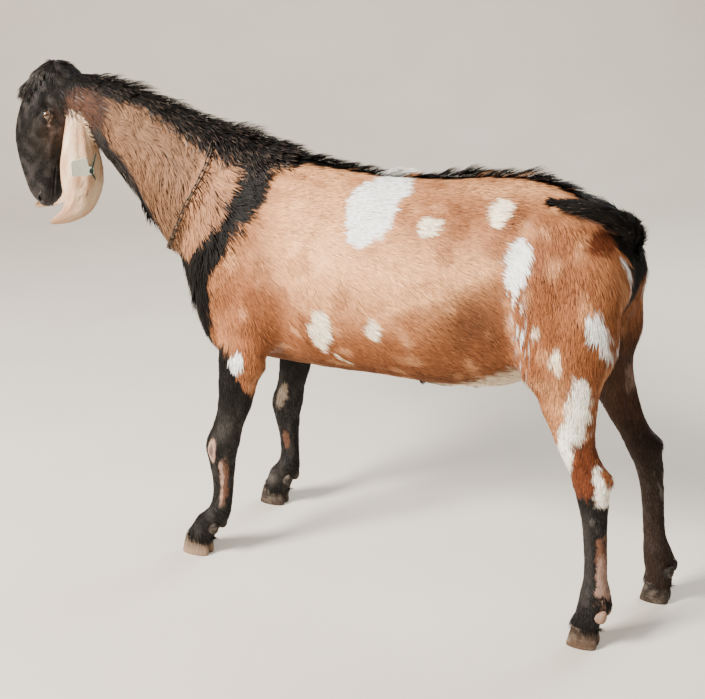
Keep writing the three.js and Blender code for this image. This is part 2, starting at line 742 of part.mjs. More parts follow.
// Long flat hair on the sides of the neck, from behind the jaw to the shoulders.
function neckSideLocks() {
  const locks = [];
  for (const side of [-1, 1]) {
    for (const [row, place] of [0.9, 2.4, 3.15, 3.95, 4.8].entries()) {
      for (let k = 0; k < 4; k += 1) {
        const angle = side * (0.55 + 0.5 * k + (row % 2) * 0.22);
        const frame = skinFrame(neckPoint, place + 0.15 * (random() - 0.5), angle, -1);
        const fall = 0.15 + 0.28 * k;
        locks.push(lockOn(frame, [0.36, 0.9, fall], [0.03, 0.9, fall], [66, 40, 7]));
      }
    }
  }
  return locks;
}

// Hair that hangs along the throat and the breast.
function throatLocks() {
  const spots = [[neckPoint, 5.7, -1], [neckPoint, 5.1, -1], [neckPoint, 4.5, -1], [neckPoint, 3.9, -1],
    [neckPoint, 1.6, -1], [neckPoint, 1, -1], [torsoPoint, 0.9, 1], [torsoPoint, 1.6, 1]];
  return spots.map(([pointAt, place, tailward], i) => {
    const frame = skinFrame(pointAt, place, Math.PI - 0.12 * (i % 2 ? 1 : -1), tailward);
    return lockOn(frame, [0.6, 0.8, 0], [0.25, 1, 0], [34, 20, 6]);
  });
}

// The forelock falls from the poll over the forehead.
function foreheadLocks() {
  return [-0.75, -0.45, -0.15, 0.15, 0.45, 0.75].map((angle, i) => {
    const root = headPoint(1.15 + 0.3 * (i % 2), angle);
    const out = root.clone().sub(headPoint(1.5, Math.PI)).normalize();
    const frame = { root, out, back: faceWay, down: leftWay.clone().multiplyScalar(Math.sign(angle)) };
    return lockOn(frame, [0.85, 0.5, 0.2], [0.06, 1, 0.3], [38, 18, 5]);
  });
}

function tailLocks() {
  const locks = [];
  for (let i = 0; i < 7; i += 1) {
    const place = 2.3 + i * 0.56;
    const here = new THREE.Vector3(...rowAt(tailRows, place));
    const ahead = new THREE.Vector3(...rowAt(tailRows, Math.min(place + 0.1, tailRows.length - 1)));
    const way = ahead.sub(here).normalize();
    const sideWay = new THREE.Vector3(0, 1, 0).addScaledVector(way, -way.y).normalize();
    const reach = rowAt(tailRows, place)[3];
    for (const side of i % 2 ? [-1, 1] : [0]) {
      const out = sideWay.clone().multiplyScalar(side)
        .addScaledVector(new THREE.Vector3().crossVectors(sideWay, way), side ? 0.2 : 1).normalize();
      const root = here.clone().addScaledVector(out, reach * (side ? 0.9 : 0.6));
      locks.push(lockOn({ root, out, back: way, down: way }, [0.4, 0.9, 0], [0.06, 1, 0], [38, 18, 5]));
    }
  }
  return locks;
}

function sheathLocks() {
  return [-150, -135, -118].map((x) => {
    const frame = { root: new THREE.Vector3(x, 0, 430), out: new THREE.Vector3(0, 0, -1),
      back: new THREE.Vector3(1, 0, 0), down: new THREE.Vector3(0, 1, 0) };
    return lockOn(frame, [1, 0.1, 0.05], [0.7, 0.6, 0], [20, 10, 4]);
  });
}

// A lock is kept where it leaves the chain free.
function clearOfChain({ root, rise, lie, length }) {
  const middle = root.clone().addScaledVector(rise, length * 0.4);
  const tip = middle.clone().addScaledVector(lie, length * 0.5);
  return collarPath(60).every(([spot]) => [root, middle, tip].every((p) => p.distanceTo(spot) > 15));
}

// A block used to part the flesh: its place, its size and its turn about the sideways axis.
function blockSolid({ place, size, lean = 0, swing = 0 }, grow = 0) {
  const block = new THREE.BoxGeometry(size[0] + 2 * grow, size[1] + 2 * grow, size[2] + 2 * grow);
  block.rotateY(THREE.MathUtils.degToRad(lean));
  block.rotateZ(THREE.MathUtils.degToRad(swing));
  block.translate(...place);
  return solidOf(block);
}

function partAlong(flesh, block) {
  return [flesh.intersect(blockSolid(block)), flesh.subtract(blockSolid(block, gap))];
}

let flesh = join([
  torsoSolid(), neckSolid(), headSolid(), lipSolid(),
  nostrilSolid(1, 3), nostrilSolid(-1, 3), shoulderSolid(1), shoulderSolid(-1),
  sheathSolid(),
  ...Object.keys(legPaths).map((name) => legSolid(name)),
  ...[...maneLocks(), ...backLocks(), ...neckSideLocks(), ...throatLocks(),
    ...foreheadLocks(), ...sheathLocks()].filter(clearOfChain).map(lockSolid),
]);

const nodes = new Map();

function takeNode(name, block) {
  const [inside, outside] = partAlong(flesh, block);
  nodes.set(name, inside);
  flesh = outside;
}

flesh = flesh.subtract(join([mouthSolid(), nostrilSolid(1, 0), nostrilSolid(-1, 0)]));

takeNode('head', { place: [725 + 283, 5 + 283, 900], size: [800, 800, 800], swing: 45 });
takeNode('neck', { place: [383 + 374, 0, 690 + 143], size: [800, 800, 1400], lean: -20.9 });
for (const [name, side] of [['left', 1], ['right', -1]]) {
  takeNode(`foreleg_${name}_upper`, { place: [320, side * 200, 380], size: [260, 280, 236] });
  takeNode(`foreleg_${name}_lower`, { place: [350, side * 200, 130], size: [320, 280, 264 - 2 * gap] });
}
takeNode('hindleg_left_upper', { place: [-390, 164, 440], size: [300, 308, 260], lean: 12 });
takeNode('hindleg_left_lower', { place: [-450, 164, 150], size: [300, 308, 372] });
takeNode('hindleg_right_upper', { place: [-420, -164, 440], size: [340, 308, 280], lean: 12 });
takeNode('hindleg_right_lower', { place: [-500, -164, 150], size: [300, 308, 372] });
takeNode('chest', { place: [125 + 300, 0, 650], size: [600, 800, 800] });
takeNode('rump', { place: [-235 - 300, 0, 650], size: [600, 800, 800] });
nodes.set('barrel', flesh);

for (const legName of Object.keys(legPaths)) {
  const lower = legName.replace('fore_', 'foreleg_').replace('hind_', 'hindleg_');
  for (const [place, side] of [['left', 1], ['right', -1]]) {
    nodes.set(`${lower}_claw_${place}`, clawSolid(legName, side));
    nodes.set(`${lower}_dewclaw_${place}`, dewclawSolid(legName, side));
    const lowerLeg = nodes.get(`${lower}_lower`);
    nodes.set(`${lower}_lower`, lowerLeg.subtract(dewclawSolid(legName, side, gap)));
  }
}

for (const [name, side] of [['left', 1], ['right', -1]]) {
  const lidded = nodes.get('head').add(lidSolid(side));
  const socketed = lidded.subtract(ballSolid(eyeCentre(side), eyeRadius + gap));
  nodes.set('head', socketed.subtract(earSolid(side, gap)));
  nodes.set(`eye_${name}`, ballSolid(eyeCentre(side), eyeRadius));
  nodes.set(`ear_${name}`, earSolid(side));
}

nodes.set('rump', nodes.get('rump').subtract(tailSolid(gap)));
nodes.set('tail', join([tailSolid(), ...tailLocks().map(lockSolid)]));

nodes.set('neck', nodes.get('neck').subtract(collarTube(chainClearance - 0.2)));
nodes.set('chain_collar', chainSolid());
nodes.set('ear_left', nodes.get('ear_left').subtract(tagSolid(gap)));
nodes.set('tag_ear', tagSolid());

const colours = {
  head: blackHair, tail: blackHair, ear: creamSkin, eye: eyeAmber, chain: chainMetal, tag: tagPlastic,
};

function colourOf(name) {
  if (name.includes('claw')) {
    return hoofHorn;
  }
  if (name.endsWith('lower')) {
    return blackHair;
  }
  return colours[name.split('_')[0]] ?? tan;
}

function meshOf(name, solid) {
  const { vertProperties, triVerts, numProp } = largestBody(solid).simplify(0.02).getMesh();
  const positions = new Float32Array((vertProperties.length / numProp) * 3);
  for (let v = 0; v < positions.length / 3; v += 1) {
    for (let k = 0; k < 3; k += 1) {
      positions[v * 3 + k] = vertProperties[v * numProp + k];
    }
  }
  const geometry = new THREE.BufferGeometry();
  geometry.setAttribute('position', new THREE.BufferAttribute(positions, 3));
  geometry.setIndex(new THREE.BufferAttribute(new Uint32Array(triVerts), 1));
  geometry.computeVertexNormals();
  const finish = { color: colourOf(name), roughness: 0.8, metalness: name.startsWith('chain') ? 0.8 : 0 };
  const mesh = new THREE.Mesh(geometry, new THREE.MeshStandardMaterial(finish));
  mesh.name = name;
  return mesh;
}

const goat = new THREE.Group();
for (const [name, solid] of nodes) {
  goat.add(meshOf(name, solid));
}

// The origin is on the floor under the middle of the whole.
const extent = new THREE.Box3().setFromObject(goat);
const middle = extent.getCenter(new THREE.Vector3());
goat.position.set(-middle.x, -middle.y, 0);
goat.updateMatrixWorld(true);

export default goat;
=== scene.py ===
import math

import bmesh
import bpy
import numpy as np
from mathutils import Matrix, Vector


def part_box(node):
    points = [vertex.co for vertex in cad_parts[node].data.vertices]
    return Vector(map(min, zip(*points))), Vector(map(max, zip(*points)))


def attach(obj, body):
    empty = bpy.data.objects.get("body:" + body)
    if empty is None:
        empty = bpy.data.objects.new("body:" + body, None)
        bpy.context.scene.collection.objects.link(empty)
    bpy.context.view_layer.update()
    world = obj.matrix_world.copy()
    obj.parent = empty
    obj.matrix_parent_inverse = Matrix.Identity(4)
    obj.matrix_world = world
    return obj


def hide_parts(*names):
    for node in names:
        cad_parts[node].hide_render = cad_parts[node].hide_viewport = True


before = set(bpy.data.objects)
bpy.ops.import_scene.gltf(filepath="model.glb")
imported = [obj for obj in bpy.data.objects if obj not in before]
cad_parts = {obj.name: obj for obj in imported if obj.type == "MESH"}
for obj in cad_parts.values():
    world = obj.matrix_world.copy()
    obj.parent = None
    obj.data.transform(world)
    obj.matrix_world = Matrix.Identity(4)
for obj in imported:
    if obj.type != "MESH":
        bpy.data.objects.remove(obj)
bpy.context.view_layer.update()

# Hide: the goat's own skin, one closed sheet over trunk, neck, head, legs and tail, drawn in by the depth
# of its coat. Places are millimetres from a spot under the belly, +x to the head, +y to the goat's left.
HEAD_PLACE = np.array([803.0, 46.0, 1008.0])
HEAD_TURN = math.radians(50)
HEAD_PITCH = math.radians(81.5)
EYE_ALONG, EYE_ABOVE, EYE_OUT, EYE_RADIUS = 84.0, 14.0, 44.5, 14.5
MOUTH_BELOW, MOUTH_CORNER = 13.0, 196.0
SIDES = ((1, "left"), (-1, "right"))
# The parts of the body, in the order of their gauges
TORSO, NECK, HEAD, FORE_LEFT, FORE_RIGHT, HIND_LEFT, HIND_RIGHT, SHOULDER, SHEATH, TAIL = range(10)
LEGS = (FORE_LEFT, FORE_RIGHT, HIND_LEFT, HIND_RIGHT)

# Place, back, widest line, belly, half width, fullness above and below
torso_rows = np.array([
    [454, 606, 556, 500, 34, 2, 2], [432, 716, 575, 460, 82, 2, 2],
    [385, 806, 595, 437, 110, 1.9, 2], [310, 866, 612, 430, 124, 1.7, 2.1],
    [225, 868, 620, 430, 136, 1.7, 2.2], [125, 856, 624, 433, 151, 1.8, 2.2],
    [15, 848, 628, 438, 163, 1.9, 2.2], [-90, 853, 636, 439, 165, 1.9, 2.2],
    [-180, 863, 652, 440, 154, 1.9, 2], [-255, 864, 672, 458, 140, 1.9, 2],
    [-325, 852, 692, 508, 126, 2, 2], [-385, 829, 702, 575, 114, 2.1, 2],
    [-435, 796, 706, 612, 92, 2.1, 2], [-464, 762, 706, 645, 58, 2, 2]])
# Place, side shift, height, lean in degrees, extents up, down and sideways, fullness above and below
neck_rows = np.array([
    [330, 0, 672, 17, 200, 205, 108, 1.8, 2], [394, 0, 722, 17, 182, 192, 102, 1.7, 2],
    [458, 0, 778, 16, 139, 170, 94, 1.6, 2], [522, 2, 826, 15, 111, 143, 82, 1.6, 2],
    [586, 6, 868, 12, 95, 120, 71, 1.7, 2], [646, 14, 903, 6, 85, 101, 61, 1.8, 2],
    [702, 25, 930, -4, 73, 84, 54, 2, 2], [750, 38, 949, -14, 62, 70, 48, 2, 2],
    [786, 50, 962, -22, 42, 50, 38, 2, 2]])
# Distance down the face, extents to the forehead, to the jaw and sideways, fullness of both halves
head_rows = np.array([
    [-26, 16, 42, 34, 2, 2], [0, 36, 62, 46, 2.2, 2], [34, 55, 78, 53, 2.4, 1.9],
    [70, 63, 84, 56, 2.5, 1.7], [104, 68, 76, 56, 2.3, 1.6], [140, 69, 61, 46, 2.1, 1.7],
    [175, 63, 49, 37, 2.1, 1.9], [208, 53, 41, 32, 2.2, 2.1], [238, 41, 37, 30, 2.3, 2.2],
    [262, 29, 33, 29, 2.3, 2.2], [280, 13, 24, 21, 2.1, 2]])
# Height, place along and across
leg_paths = {
    "fore_left": [[600, 298, 68], [540, 298, 99], [470, 298, 124], [365, 312, 135], [270, 342, 138],
                  [225, 346, 139], [160, 347, 140], [116, 356, 141], [84, 382, 142], [44, 405, 144]],
    "fore_right": [[600, 298, -68], [540, 298, -97], [470, 300, -120], [365, 318, -133],
                   [270, 341, -139], [225, 345, -142], [160, 343, -145], [116, 346, -146],
                   [84, 364, -147], [44, 380, -149]],
    "hind_left": [[790, -345, 44], [700, -378, 76], [600, -386, 94], [500, -384, 105],
                  [410, -406, 114], [338, -440, 119], [265, -456, 121], [150, -466, 123],
                  [92, -467, 126], [44, -456, 130]],
    "hind_right": [[790, -348, -44], [700, -378, -74], [600, -385, -88], [500, -394, -96],
                   [395, -446, -100], [310, -494, -101], [250, -512, -101], [150, -524, -101],
                   [92, -536, -101], [44, -541, -101]]}
leg_paths = {leg: np.array(rows, float) for leg, rows in leg_paths.items()}
# Height, extents forward, backward and sideways
leg_girths = {
    "fore": [[600, 72, 72, 40], [540, 66, 64, 42], [480, 58, 55, 40], [420, 48, 45, 35],
             [365, 40, 39, 31], [315, 35, 35, 29], [272, 38, 37, 31], [235, 33, 33, 27],
             [190, 25, 26, 21], [140, 23, 24, 19], [108, 27, 28, 23], [86, 32, 35, 26],
             [60, 33, 33, 26], [44, 33, 32, 26]],
    "hind": [[790, 56, 62, 40], [720, 116, 92, 60], [650, 122, 88, 66], [580, 104, 86, 60],
             [520, 80, 72, 50], [465, 56, 57, 40], [415, 42, 44, 32], [375, 37, 39, 28],
             [338, 34, 42, 26], [300, 31, 33, 24], [260, 26, 26, 20], [200, 23, 23, 18],
             [145, 23, 24, 18], [108, 28, 31, 23], [80, 29, 32, 24], [60, 29, 29, 23],
             [44, 29, 28, 23]]}
leg_girths = {pair: np.array(rows, float) for pair, rows in leg_girths.items()}
LEG_FOOT = 44
# The shoulder blade with its muscles: an egg, rolled and leaned by degrees
SHOULDER_SPOT, SHOULDER_RADII, SHOULDER_ROLL, SHOULDER_LEAN = (306, 80, 628), (94, 44, 170), 9, -20
# The tail's middle line and the half width of its hair
tail_rows = np.array([
    [-420, 0, 752, 22], [-452, 5, 766, 25], [-468, 21, 786, 25], [-456, 44, 806, 24],
    [-425, 65, 824, 22], [-380, 84, 837, 17], [-335, 95, 842, 5]], float)
TAIL_PLACES, TAIL_RADII, TAIL_FINE = [0, 2, 4, 5.2, 5.6], [17, 14, 10, 5, 3], 10
NECK_FINE = 6
TORSO_FRONT, TORSO_BACK = 458, -472

# Muscles, bones and hollows of the trunk: place, out from the middle, height, reach of each, rise
trunk_forms = np.array([
    [330, 104, 700, 46, 40, 90, 5],      # ridge of the shoulder blade
    [365, 112, 585, 34, 40, 46, 7],      # point of the shoulder
    [262, 128, 560, 46, 40, 56, 6],      # triceps
    [196, 140, 600, 30, 50, 110, -6],    # hollow behind the shoulder
    [205, 110, 470, 34, 50, 34, -5],     # behind the elbow
    [60, 165, 640, 110, 50, 80, 4],      # spring of the ribs
    [-190, 130, 770, 44, 50, 42, -8],    # hollow of the loin
    [-252, 96, 806, 22, 30, 20, 8],      # hip bone
    [-205, 140, 628, 44, 50, 52, -9],    # flank in front of the thigh
    [-170, 145, 690, 70, 40, 22, 4],     # fold that runs from the last rib to the hip
    [-262, 128, 520, 40, 40, 34, 5],     # fold of the flank down to the stifle
    [-318, 118, 700, 40, 40, 44, 5],     # front of the thigh
    [-372, 132, 640, 22, 40, 90, -4],    # groove between the thigh's muscles
    [-420, 120, 650, 26, 40, 80, 5],     # back of the thigh
    [-452, 46, 742, 20, 24, 22, 7],      # pin bone
    [-300, 20, 862, 60, 40, 24, 3],      # croup
    [430, 0, 560, 30, 24, 60, 5]])       # breast bone
# The same on the head: down the face, towards the forehead, sideways, reach of each, rise
head_forms = np.array([
    [66, 36, 48, 20, 12, 14, 4],         # brow over the eye
    [60, -4, 50, 14, 16, 16, 3],         # cheekbone behind the eye
    [46, 22, 50, 14, 14, 14, -3],        # temple
    [112, 4, 48, 16, 14, 16, -4],        # hollow before the eye
    [104, -38, 46, 40, 24, 22, 5],       # cheek muscle
    [146, -34, 40, 12, 22, 20, -3],      # front edge of the cheek muscle
    [150, 2, 42, 34, 7, 16, 2.6],        # ridge from the eye to the muzzle
    [176, 22, 34, 30, 16, 16, -2.4],     # side of the nose
    [120, 70, 0, 60, 16, 22, 2.6],       # roman nose
    [30, 52, 16, 18, 18, 20, 3],         # frontal bumps
    [254, 2, 26, 20, 10, 12, 2.6],       # upper lip
    [252, -30, 8, 18, 12, 20, 3.4],      # chin
    [236, -12, 28, 40, 5, 12, -1.2],     # between the lips
    [84, -70, 18, 50, 16, 12, -5]])      # between the jaws
# And on the legs: height, degrees from the front to the outside, reach of both, rise
leg_forms = {
    "fore": [[452, 172, 26, 34, 10], [420, 60, 50, 34, 3], [400, 128, 46, 22, -3],
             [268, 0, 24, 34, 2.5], [266, 78, 20, 26, 2.2], [266, -78, 20, 26, 2.2],
             [236, 180, 16, 40, -2], [190, 116, 56, 20, -2.6], [190, -116, 56, 20, -2.6],
             [108, 92, 15, 30, 2.2], [108, -92, 15, 30, 2.2], [98, 180, 12, 40, 2.6],
             [66, 0, 12, 34, -2]],
    "hind": [[524, 8, 26, 34, 7], [488, 24, 20, 26, -3], [430, 112, 50, 26, 3],
             [392, 138, 40, 20, -5], [392, -138, 40, 20, -5], [346, 180, 17, 26, 7],
             [322, 88, 18, 26, 2.4], [322, -88, 18, 26, 2.4], [328, 0, 18, 30, 1.6],
             [205, 116, 66, 20, -2.4], [205, -116, 66, 20, -2.4], [108, 92, 15, 30, 2.2],
             [108, -92, 15, 30, 2.2], [96, 180, 12, 40, 2.6], [66, 0, 12, 34, -2]]}


def row_at(rows, place):
    """A smooth curve through the rows of a table, at places between them."""
    last = len(rows) - 1
    place = np.clip(place, 0, last)
    index = np.minimum(place.astype(int), last - 1)
    f = (place - index)[:, None]
    a, b, c, d = [rows[np.clip(index + k, 0, last)] for k in (-1, 0, 1, 2)]
    return ((2 * f ** 3 - 3 * f ** 2 + 1) * b + (f ** 3 - 2 * f ** 2 + f) * (c - a) / 2
            + (3 * f ** 2 - 2 * f ** 3) * c + (f ** 3 - f ** 2) * (d - b) / 2)


def place_of(rows, value, falling=False):
    """The place in a table whose first column rises or falls steadily."""
    sign = -1 if falling else 1
    dense = np.linspace(0, len(rows) - 1, 400)
    return np.interp(value * sign, row_at(rows, dense)[:, 0] * sign, dense)


def at_height(rows, height):
    """The rows of a table that runs down a leg, at these heights."""
    return row_at(rows, np.interp(-height, -rows[:, 0], np.arange(len(rows))))


def ramp(low, high, value):
    """0 up to the first value, 1 from the second, and smooth between them."""
    t = np.clip((value - low) / (high - low), 0, 1)
    return t * t * (3 - 2 * t)


def blob(*terms):
    """1 at the middle of a soft spot, less away from it. A term is a value, its middle and its reach."""
    return np.exp(-sum(((value - middle) / reach) ** 2 for value, middle, reach in terms))


def round_angles(count):
    """Angles of so many corners of a ring."""
    return np.arange(count) / count * 2 * np.pi


def folded(places, axis=1):
    """Both sides laid on one."""
    places = places.copy()
    places[:, axis] = np.abs(places[:, axis])
    return places


def round_min(a, b, radius):
    h = np.maximum(radius - np.abs(a - b), 0) / radius
    return np.minimum(a, b) - h * h * radius / 4


def round_max(a, b, radius):
    return -round_min(-a, -b, radius)


def outside(share, length):
    """How far out a point lies, from its length and its share of the reach of a form."""
    return (share - 1) * length / np.maximum(share, 1e-6)


def section_gauge(rise, side, top, bottom, half, crest, keel):
    """How far a point lies outside a section whose upper and lower halves differ."""
    full = np.where(rise > 0, crest, keel)
    reach = np.where(rise > 0, top, bottom)
    share = (np.abs(rise / reach) ** full + np.abs(side / half) ** full) ** (1 / full)
    return outside(share, np.hypot(rise, side))


def torso_chart(q):
    """The trunk's sizes at each point, and degrees round from the spine."""
    rows = row_at(torso_rows, place_of(torso_rows, q[:, 0], falling=True))
    return rows, np.degrees(np.arctan2(np.abs(q[:, 1]), q[:, 2] - rows[:, 2]))


def torso_gauge(q):
    rows, _ = torso_chart(q)
    _, back, widest, belly, half, crest, keel = rows.T
    gauge = section_gauge(q[:, 2] - widest, q[:, 1], back - widest, widest - belly, half, crest, keel)
    gauge = round_max(gauge, q[:, 0] - TORSO_FRONT, 24)
    return round_max(gauge, TORSO_BACK - q[:, 0], 34)


neck_dense = row_at(neck_rows, np.linspace(0, len(neck_rows) - 1, (len(neck_rows) - 1) * NECK_FINE + 1))
neck_lean = np.radians(neck_dense[:, 3])
neck_ways = np.stack([np.cos(neck_lean), 0 * neck_lean, np.sin(neck_lean)], 1)


def neck_chart(q):
    """Place along the neck, distance past either end, and offsets up and sideways in its section."""
    ahead = q @ neck_ways.T - (neck_dense[:, :3] * neck_ways).sum(1)
    index = np.clip((ahead > 0).sum(1) - 1, 0, len(neck_dense) - 2)
    pick = np.arange(len(q))
    near, far = ahead[pick, index], ahead[pick, index + 1]
    share = np.clip(near / np.where(np.abs(near - far) < 1e-6, 1, near - far), 0, 1)
    place = (index + share) / NECK_FINE
    rows = row_at(neck_rows, place)
    past = np.maximum(-ahead[:, 0], ahead[:, -1])
    lean = np.radians(rows[:, 3])
    off = q - rows[:, :3]
    rise = -off[:, 0] * np.sin(lean) + off[:, 2] * np.cos(lean)
    return place, past, rise, off[:, 1], rows
def neck_turn(q):
    """Place along the neck, and degrees round it from the crest."""
    place, _, rise, across, _ = neck_chart(q)
    return place, np.degrees(np.arctan2(np.abs(across), rise))


def neck_gauge(q):
    _, past, rise, side, rows = neck_chart(q)
    gauge = section_gauge(rise, side, *rows[:, 4:].T)
    return round_max(gauge, past, 20)


face_way = np.array([math.cos(HEAD_PITCH) * math.cos(HEAD_TURN),
                     math.cos(HEAD_PITCH) * math.sin(HEAD_TURN), -math.sin(HEAD_PITCH)])
brow_way = np.array([math.sin(HEAD_PITCH) * math.cos(HEAD_TURN),
                     math.sin(HEAD_PITCH) * math.sin(HEAD_TURN), math.cos(HEAD_PITCH)])
left_way = np.array([-math.sin(HEAD_TURN), math.cos(HEAD_TURN), 0.0])
head_axes = np.stack([face_way, brow_way, left_way])


def head_spot(along, above, left):
    return HEAD_PLACE + np.asarray([along, above, left]) @ head_axes


def head_chart(q):
    """Distances down the face, out of the forehead and to the head's left."""
    return (q - HEAD_PLACE) @ head_axes.T


def bumps(places, forms):
    reach = ((places[:, None, :] - forms[None, :, :3]) / forms[None, :, 3:6]) ** 2
    return (np.exp(-reach.sum(2)) * forms[:, 6]).sum(1)


def head_gauge(q):
    chart = head_chart(q)
    rows = row_at(head_rows, place_of(head_rows, chart[:, 0]))
    gauge = section_gauge(chart[:, 1], chart[:, 2], *rows[:, 1:].T)
    gauge = round_max(gauge, chart[:, 0] - 287, 15)
    gauge = round_max(gauge, -32 - chart[:, 0], 24)
    near = gauge < 40
    gauge[near] -= bumps(folded(chart[near], 2), head_forms)
    return gauge


def leg_chart(q, leg):
    """Offsets from a leg's middle line, its girth there, and degrees from the front to the outside."""
    path, girth = leg_paths[leg], leg_girths[leg.split("_")[0]]
    side = 1 if leg.endswith("left") else -1
    height = np.clip(q[:, 2], LEG_FOOT, path[0, 0])
    middle, size = at_height(path, height), at_height(girth, height)
    ahead, across = q[:, 0] - middle[:, 1], (q[:, 1] - middle[:, 2]) * side
    return ahead, across, size, np.degrees(np.arctan2(across, ahead))


def leg_gauge(q, leg):
    ahead, across, size, angle = leg_chart(q, leg)
    reach = np.where(ahead > 0, size[:, 1], size[:, 2])
    gauge = outside(np.hypot(ahead / reach, across / size[:, 3]), np.hypot(ahead, across))
    for height, degrees, tall, wide, rise in leg_forms[leg.split("_")[0]]:
        turned = (angle - degrees + 180) % 360 - 180
        gauge -= rise * blob((q[:, 2], height, tall), (turned, 0, wide))
    gauge = round_max(gauge, 37 - q[:, 2], 6)
    return round_max(gauge, q[:, 2] - leg_paths[leg][0, 0], 30)


def egg_gauge(q, centre, radii, turn_x=0.0, turn_y=0.0):
    """How far a point lies outside an egg that is rolled about x and then pitched about y."""
    off = q - np.array(centre, float)
    cy, sy = math.cos(math.radians(turn_y)), math.sin(math.radians(turn_y))
    cx, sx = math.cos(math.radians(turn_x)), math.sin(math.radians(turn_x))
    x, z = off[:, 0] * cy - off[:, 2] * sy, off[:, 0] * sy + off[:, 2] * cy
    y, z = off[:, 1] * cx + z * sx, -off[:, 1] * sx + z * cx
    share = np.sqrt((x / radii[0]) ** 2 + (y / radii[1]) ** 2 + (z / radii[2]) ** 2)
    return outside(share, np.linalg.norm(off, axis=1))


tail_dense = row_at(tail_rows, np.linspace(0, len(tail_rows) - 1, (len(tail_rows) - 1) * TAIL_FINE + 1))


def tail_chart(q):
    """Place along the tail and distance from its middle line."""
    apart = np.linalg.norm(q[:, None, :] - tail_dense[None, :, :3], axis=2)
    nearest = apart.argmin(1)
    return nearest / TAIL_FINE, apart[np.arange(len(q)), nearest]


def tail_gauge(q):
    gauge = np.full(len(q), 400.0)
    near = (q[:, 0] < -280) & (q[:, 2] > 680)
    place, apart = tail_chart(q[near])
    gauge[near] = apart - np.interp(place, TAIL_PLACES, [*TAIL_RADII[:-1], -12])
    return gauge


def part_gauges(q):
    """How far each point lies outside each part of the body."""
    columns = [torso_gauge(q), neck_gauge(q), head_gauge(q)]
    columns += [leg_gauge(q, leg) for leg in leg_paths]
    columns += [egg_gauge(folded(q), SHOULDER_SPOT, SHOULDER_RADII, SHOULDER_ROLL, SHOULDER_LEAN),
                egg_gauge(q, (-108, 0, 440), (78, 20, 15), 0, -2), tail_gauge(q)]
    return np.stack(columns, 1)


def part_shares(gauges, blur):
    """How much each part counts at a point, most for the one it lies in or nearest to."""
    shares = np.exp(-(gauges - gauges.min(1, keepdims=True)) / blur)
    return shares / shares.sum(1, keepdims=True)


def coat_depth(q, gauges):
    """How far the hide lies inside the flesh: deep on the trunk, little on face and feet."""
    lower = np.interp(q[:, 2], [60, 250, 420, 520], [1.2, 1.8, 4, 5])
    muzzle = np.interp(head_chart(q)[:, 0], [60, 150, 250], [2.6, 1.6, 0.6])
    same = np.ones(len(q))
    depths = [5.5 * same, 7.0 * same, muzzle, lower, lower, lower, lower, 6.0 * same, 4.0 * same, 0.0 * same]
    return (part_shares(gauges, 14) * np.stack(depths, 1)).sum(1)


# How softly each part runs into the ones before it
JOIN_RADII = {NECK: 46, SHOULDER: 40, HEAD: 26, FORE_LEFT: 36, FORE_RIGHT: 36, HIND_LEFT: 44, HIND_RIGHT: 44,
              SHEATH: 16, TAIL: 26}


def hide_gauge(q):
    gauges = part_gauges(q)
    whole = gauges[:, TORSO]
    for part, radius in JOIN_RADII.items():
        whole = round_min(whole, gauges[:, part], radius)
    return whole - bumps(folded(q), trunk_forms) + coat_depth(q, gauges)


def pull_to_hide(points, rounds):
    """Moves points along the gauge's slope until they lie on the hide."""
    step = 0.5
    for _ in range(rounds):
        value = hide_gauge(points)
        slope = np.stack([hide_gauge(points + step * axis) - value for axis in np.eye(3)], 1) / step
        size = np.maximum((slope ** 2).sum(1), 0.2)
        points = points - np.clip(value / size, -9, 9)[:, None] * slope
    return points


def bands(count, sides):
    """Triangles between closed rings of corners."""
    faces = []
    for r in range(count - 1):
        for s in range(sides):
            a, b = r * sides + s, r * sides + (s + 1) % sides
            faces += [(a, b, b + sides), (a, b + sides, a + sides)]
    return faces


def ring_shell(rings):
    """Corners and triangles of a closed shell through rings of equal count."""
    rings = list(rings)
    count, sides = len(rings), len(rings[0])
    corners = np.concatenate([*rings, [rings[0].mean(0), rings[-1].mean(0)]])
    faces = bands(count, sides)
    last = (count - 1) * sides
    for s in range(sides):
        t = (s + 1) % sides
        faces += [(t, s, count * sides), (last + s, last + t, count * sides + 1)]
    return corners, np.array(faces)


def facing_out(corners, faces):
    """The faces of a closed shell, turned where they point inwards."""
    a, b, c = [corners[faces[:, k]] - corners.mean(0) for k in range(3)]
    return faces[:, ::-1] if (a * np.cross(b, c)).sum() < 0 else faces


def section_ring(top, bottom, half, crest, keel, sides=28):
    angle = round_angles(sides)
    up, side = np.cos(angle), np.sin(angle)
    full = np.where(up > 0, crest, keel)
    rise = np.abs(up) ** (2 / full) * np.where(up > 0, top, -bottom)
    return rise, np.sign(side) * np.abs(side) ** (2 / full) * half


def torso_rings():
    for x, back, widest, belly, half, crest, keel in row_at(torso_rows, np.linspace(0, 13, 40)):
        rise, side = section_ring(back - widest, widest - belly, half, crest, keel)
        yield np.stack([x + 0 * rise, side, widest + rise], 1)


def neck_rings():
    for x, y, z, lean, *size in row_at(neck_rows, np.linspace(0, 8, 24)):
        rise, side = section_ring(*size)
        tilt = math.radians(lean)
        yield np.stack([x - rise * math.sin(tilt), y + side, z + rise * math.cos(tilt)], 1)


def head_rings():
    for along, *size in row_at(head_rows, np.linspace(0, 10, 36)):
        rise, side = section_ring(*size)
        yield HEAD_PLACE + np.stack([along + 0 * rise, rise, side], 1) @ head_axes


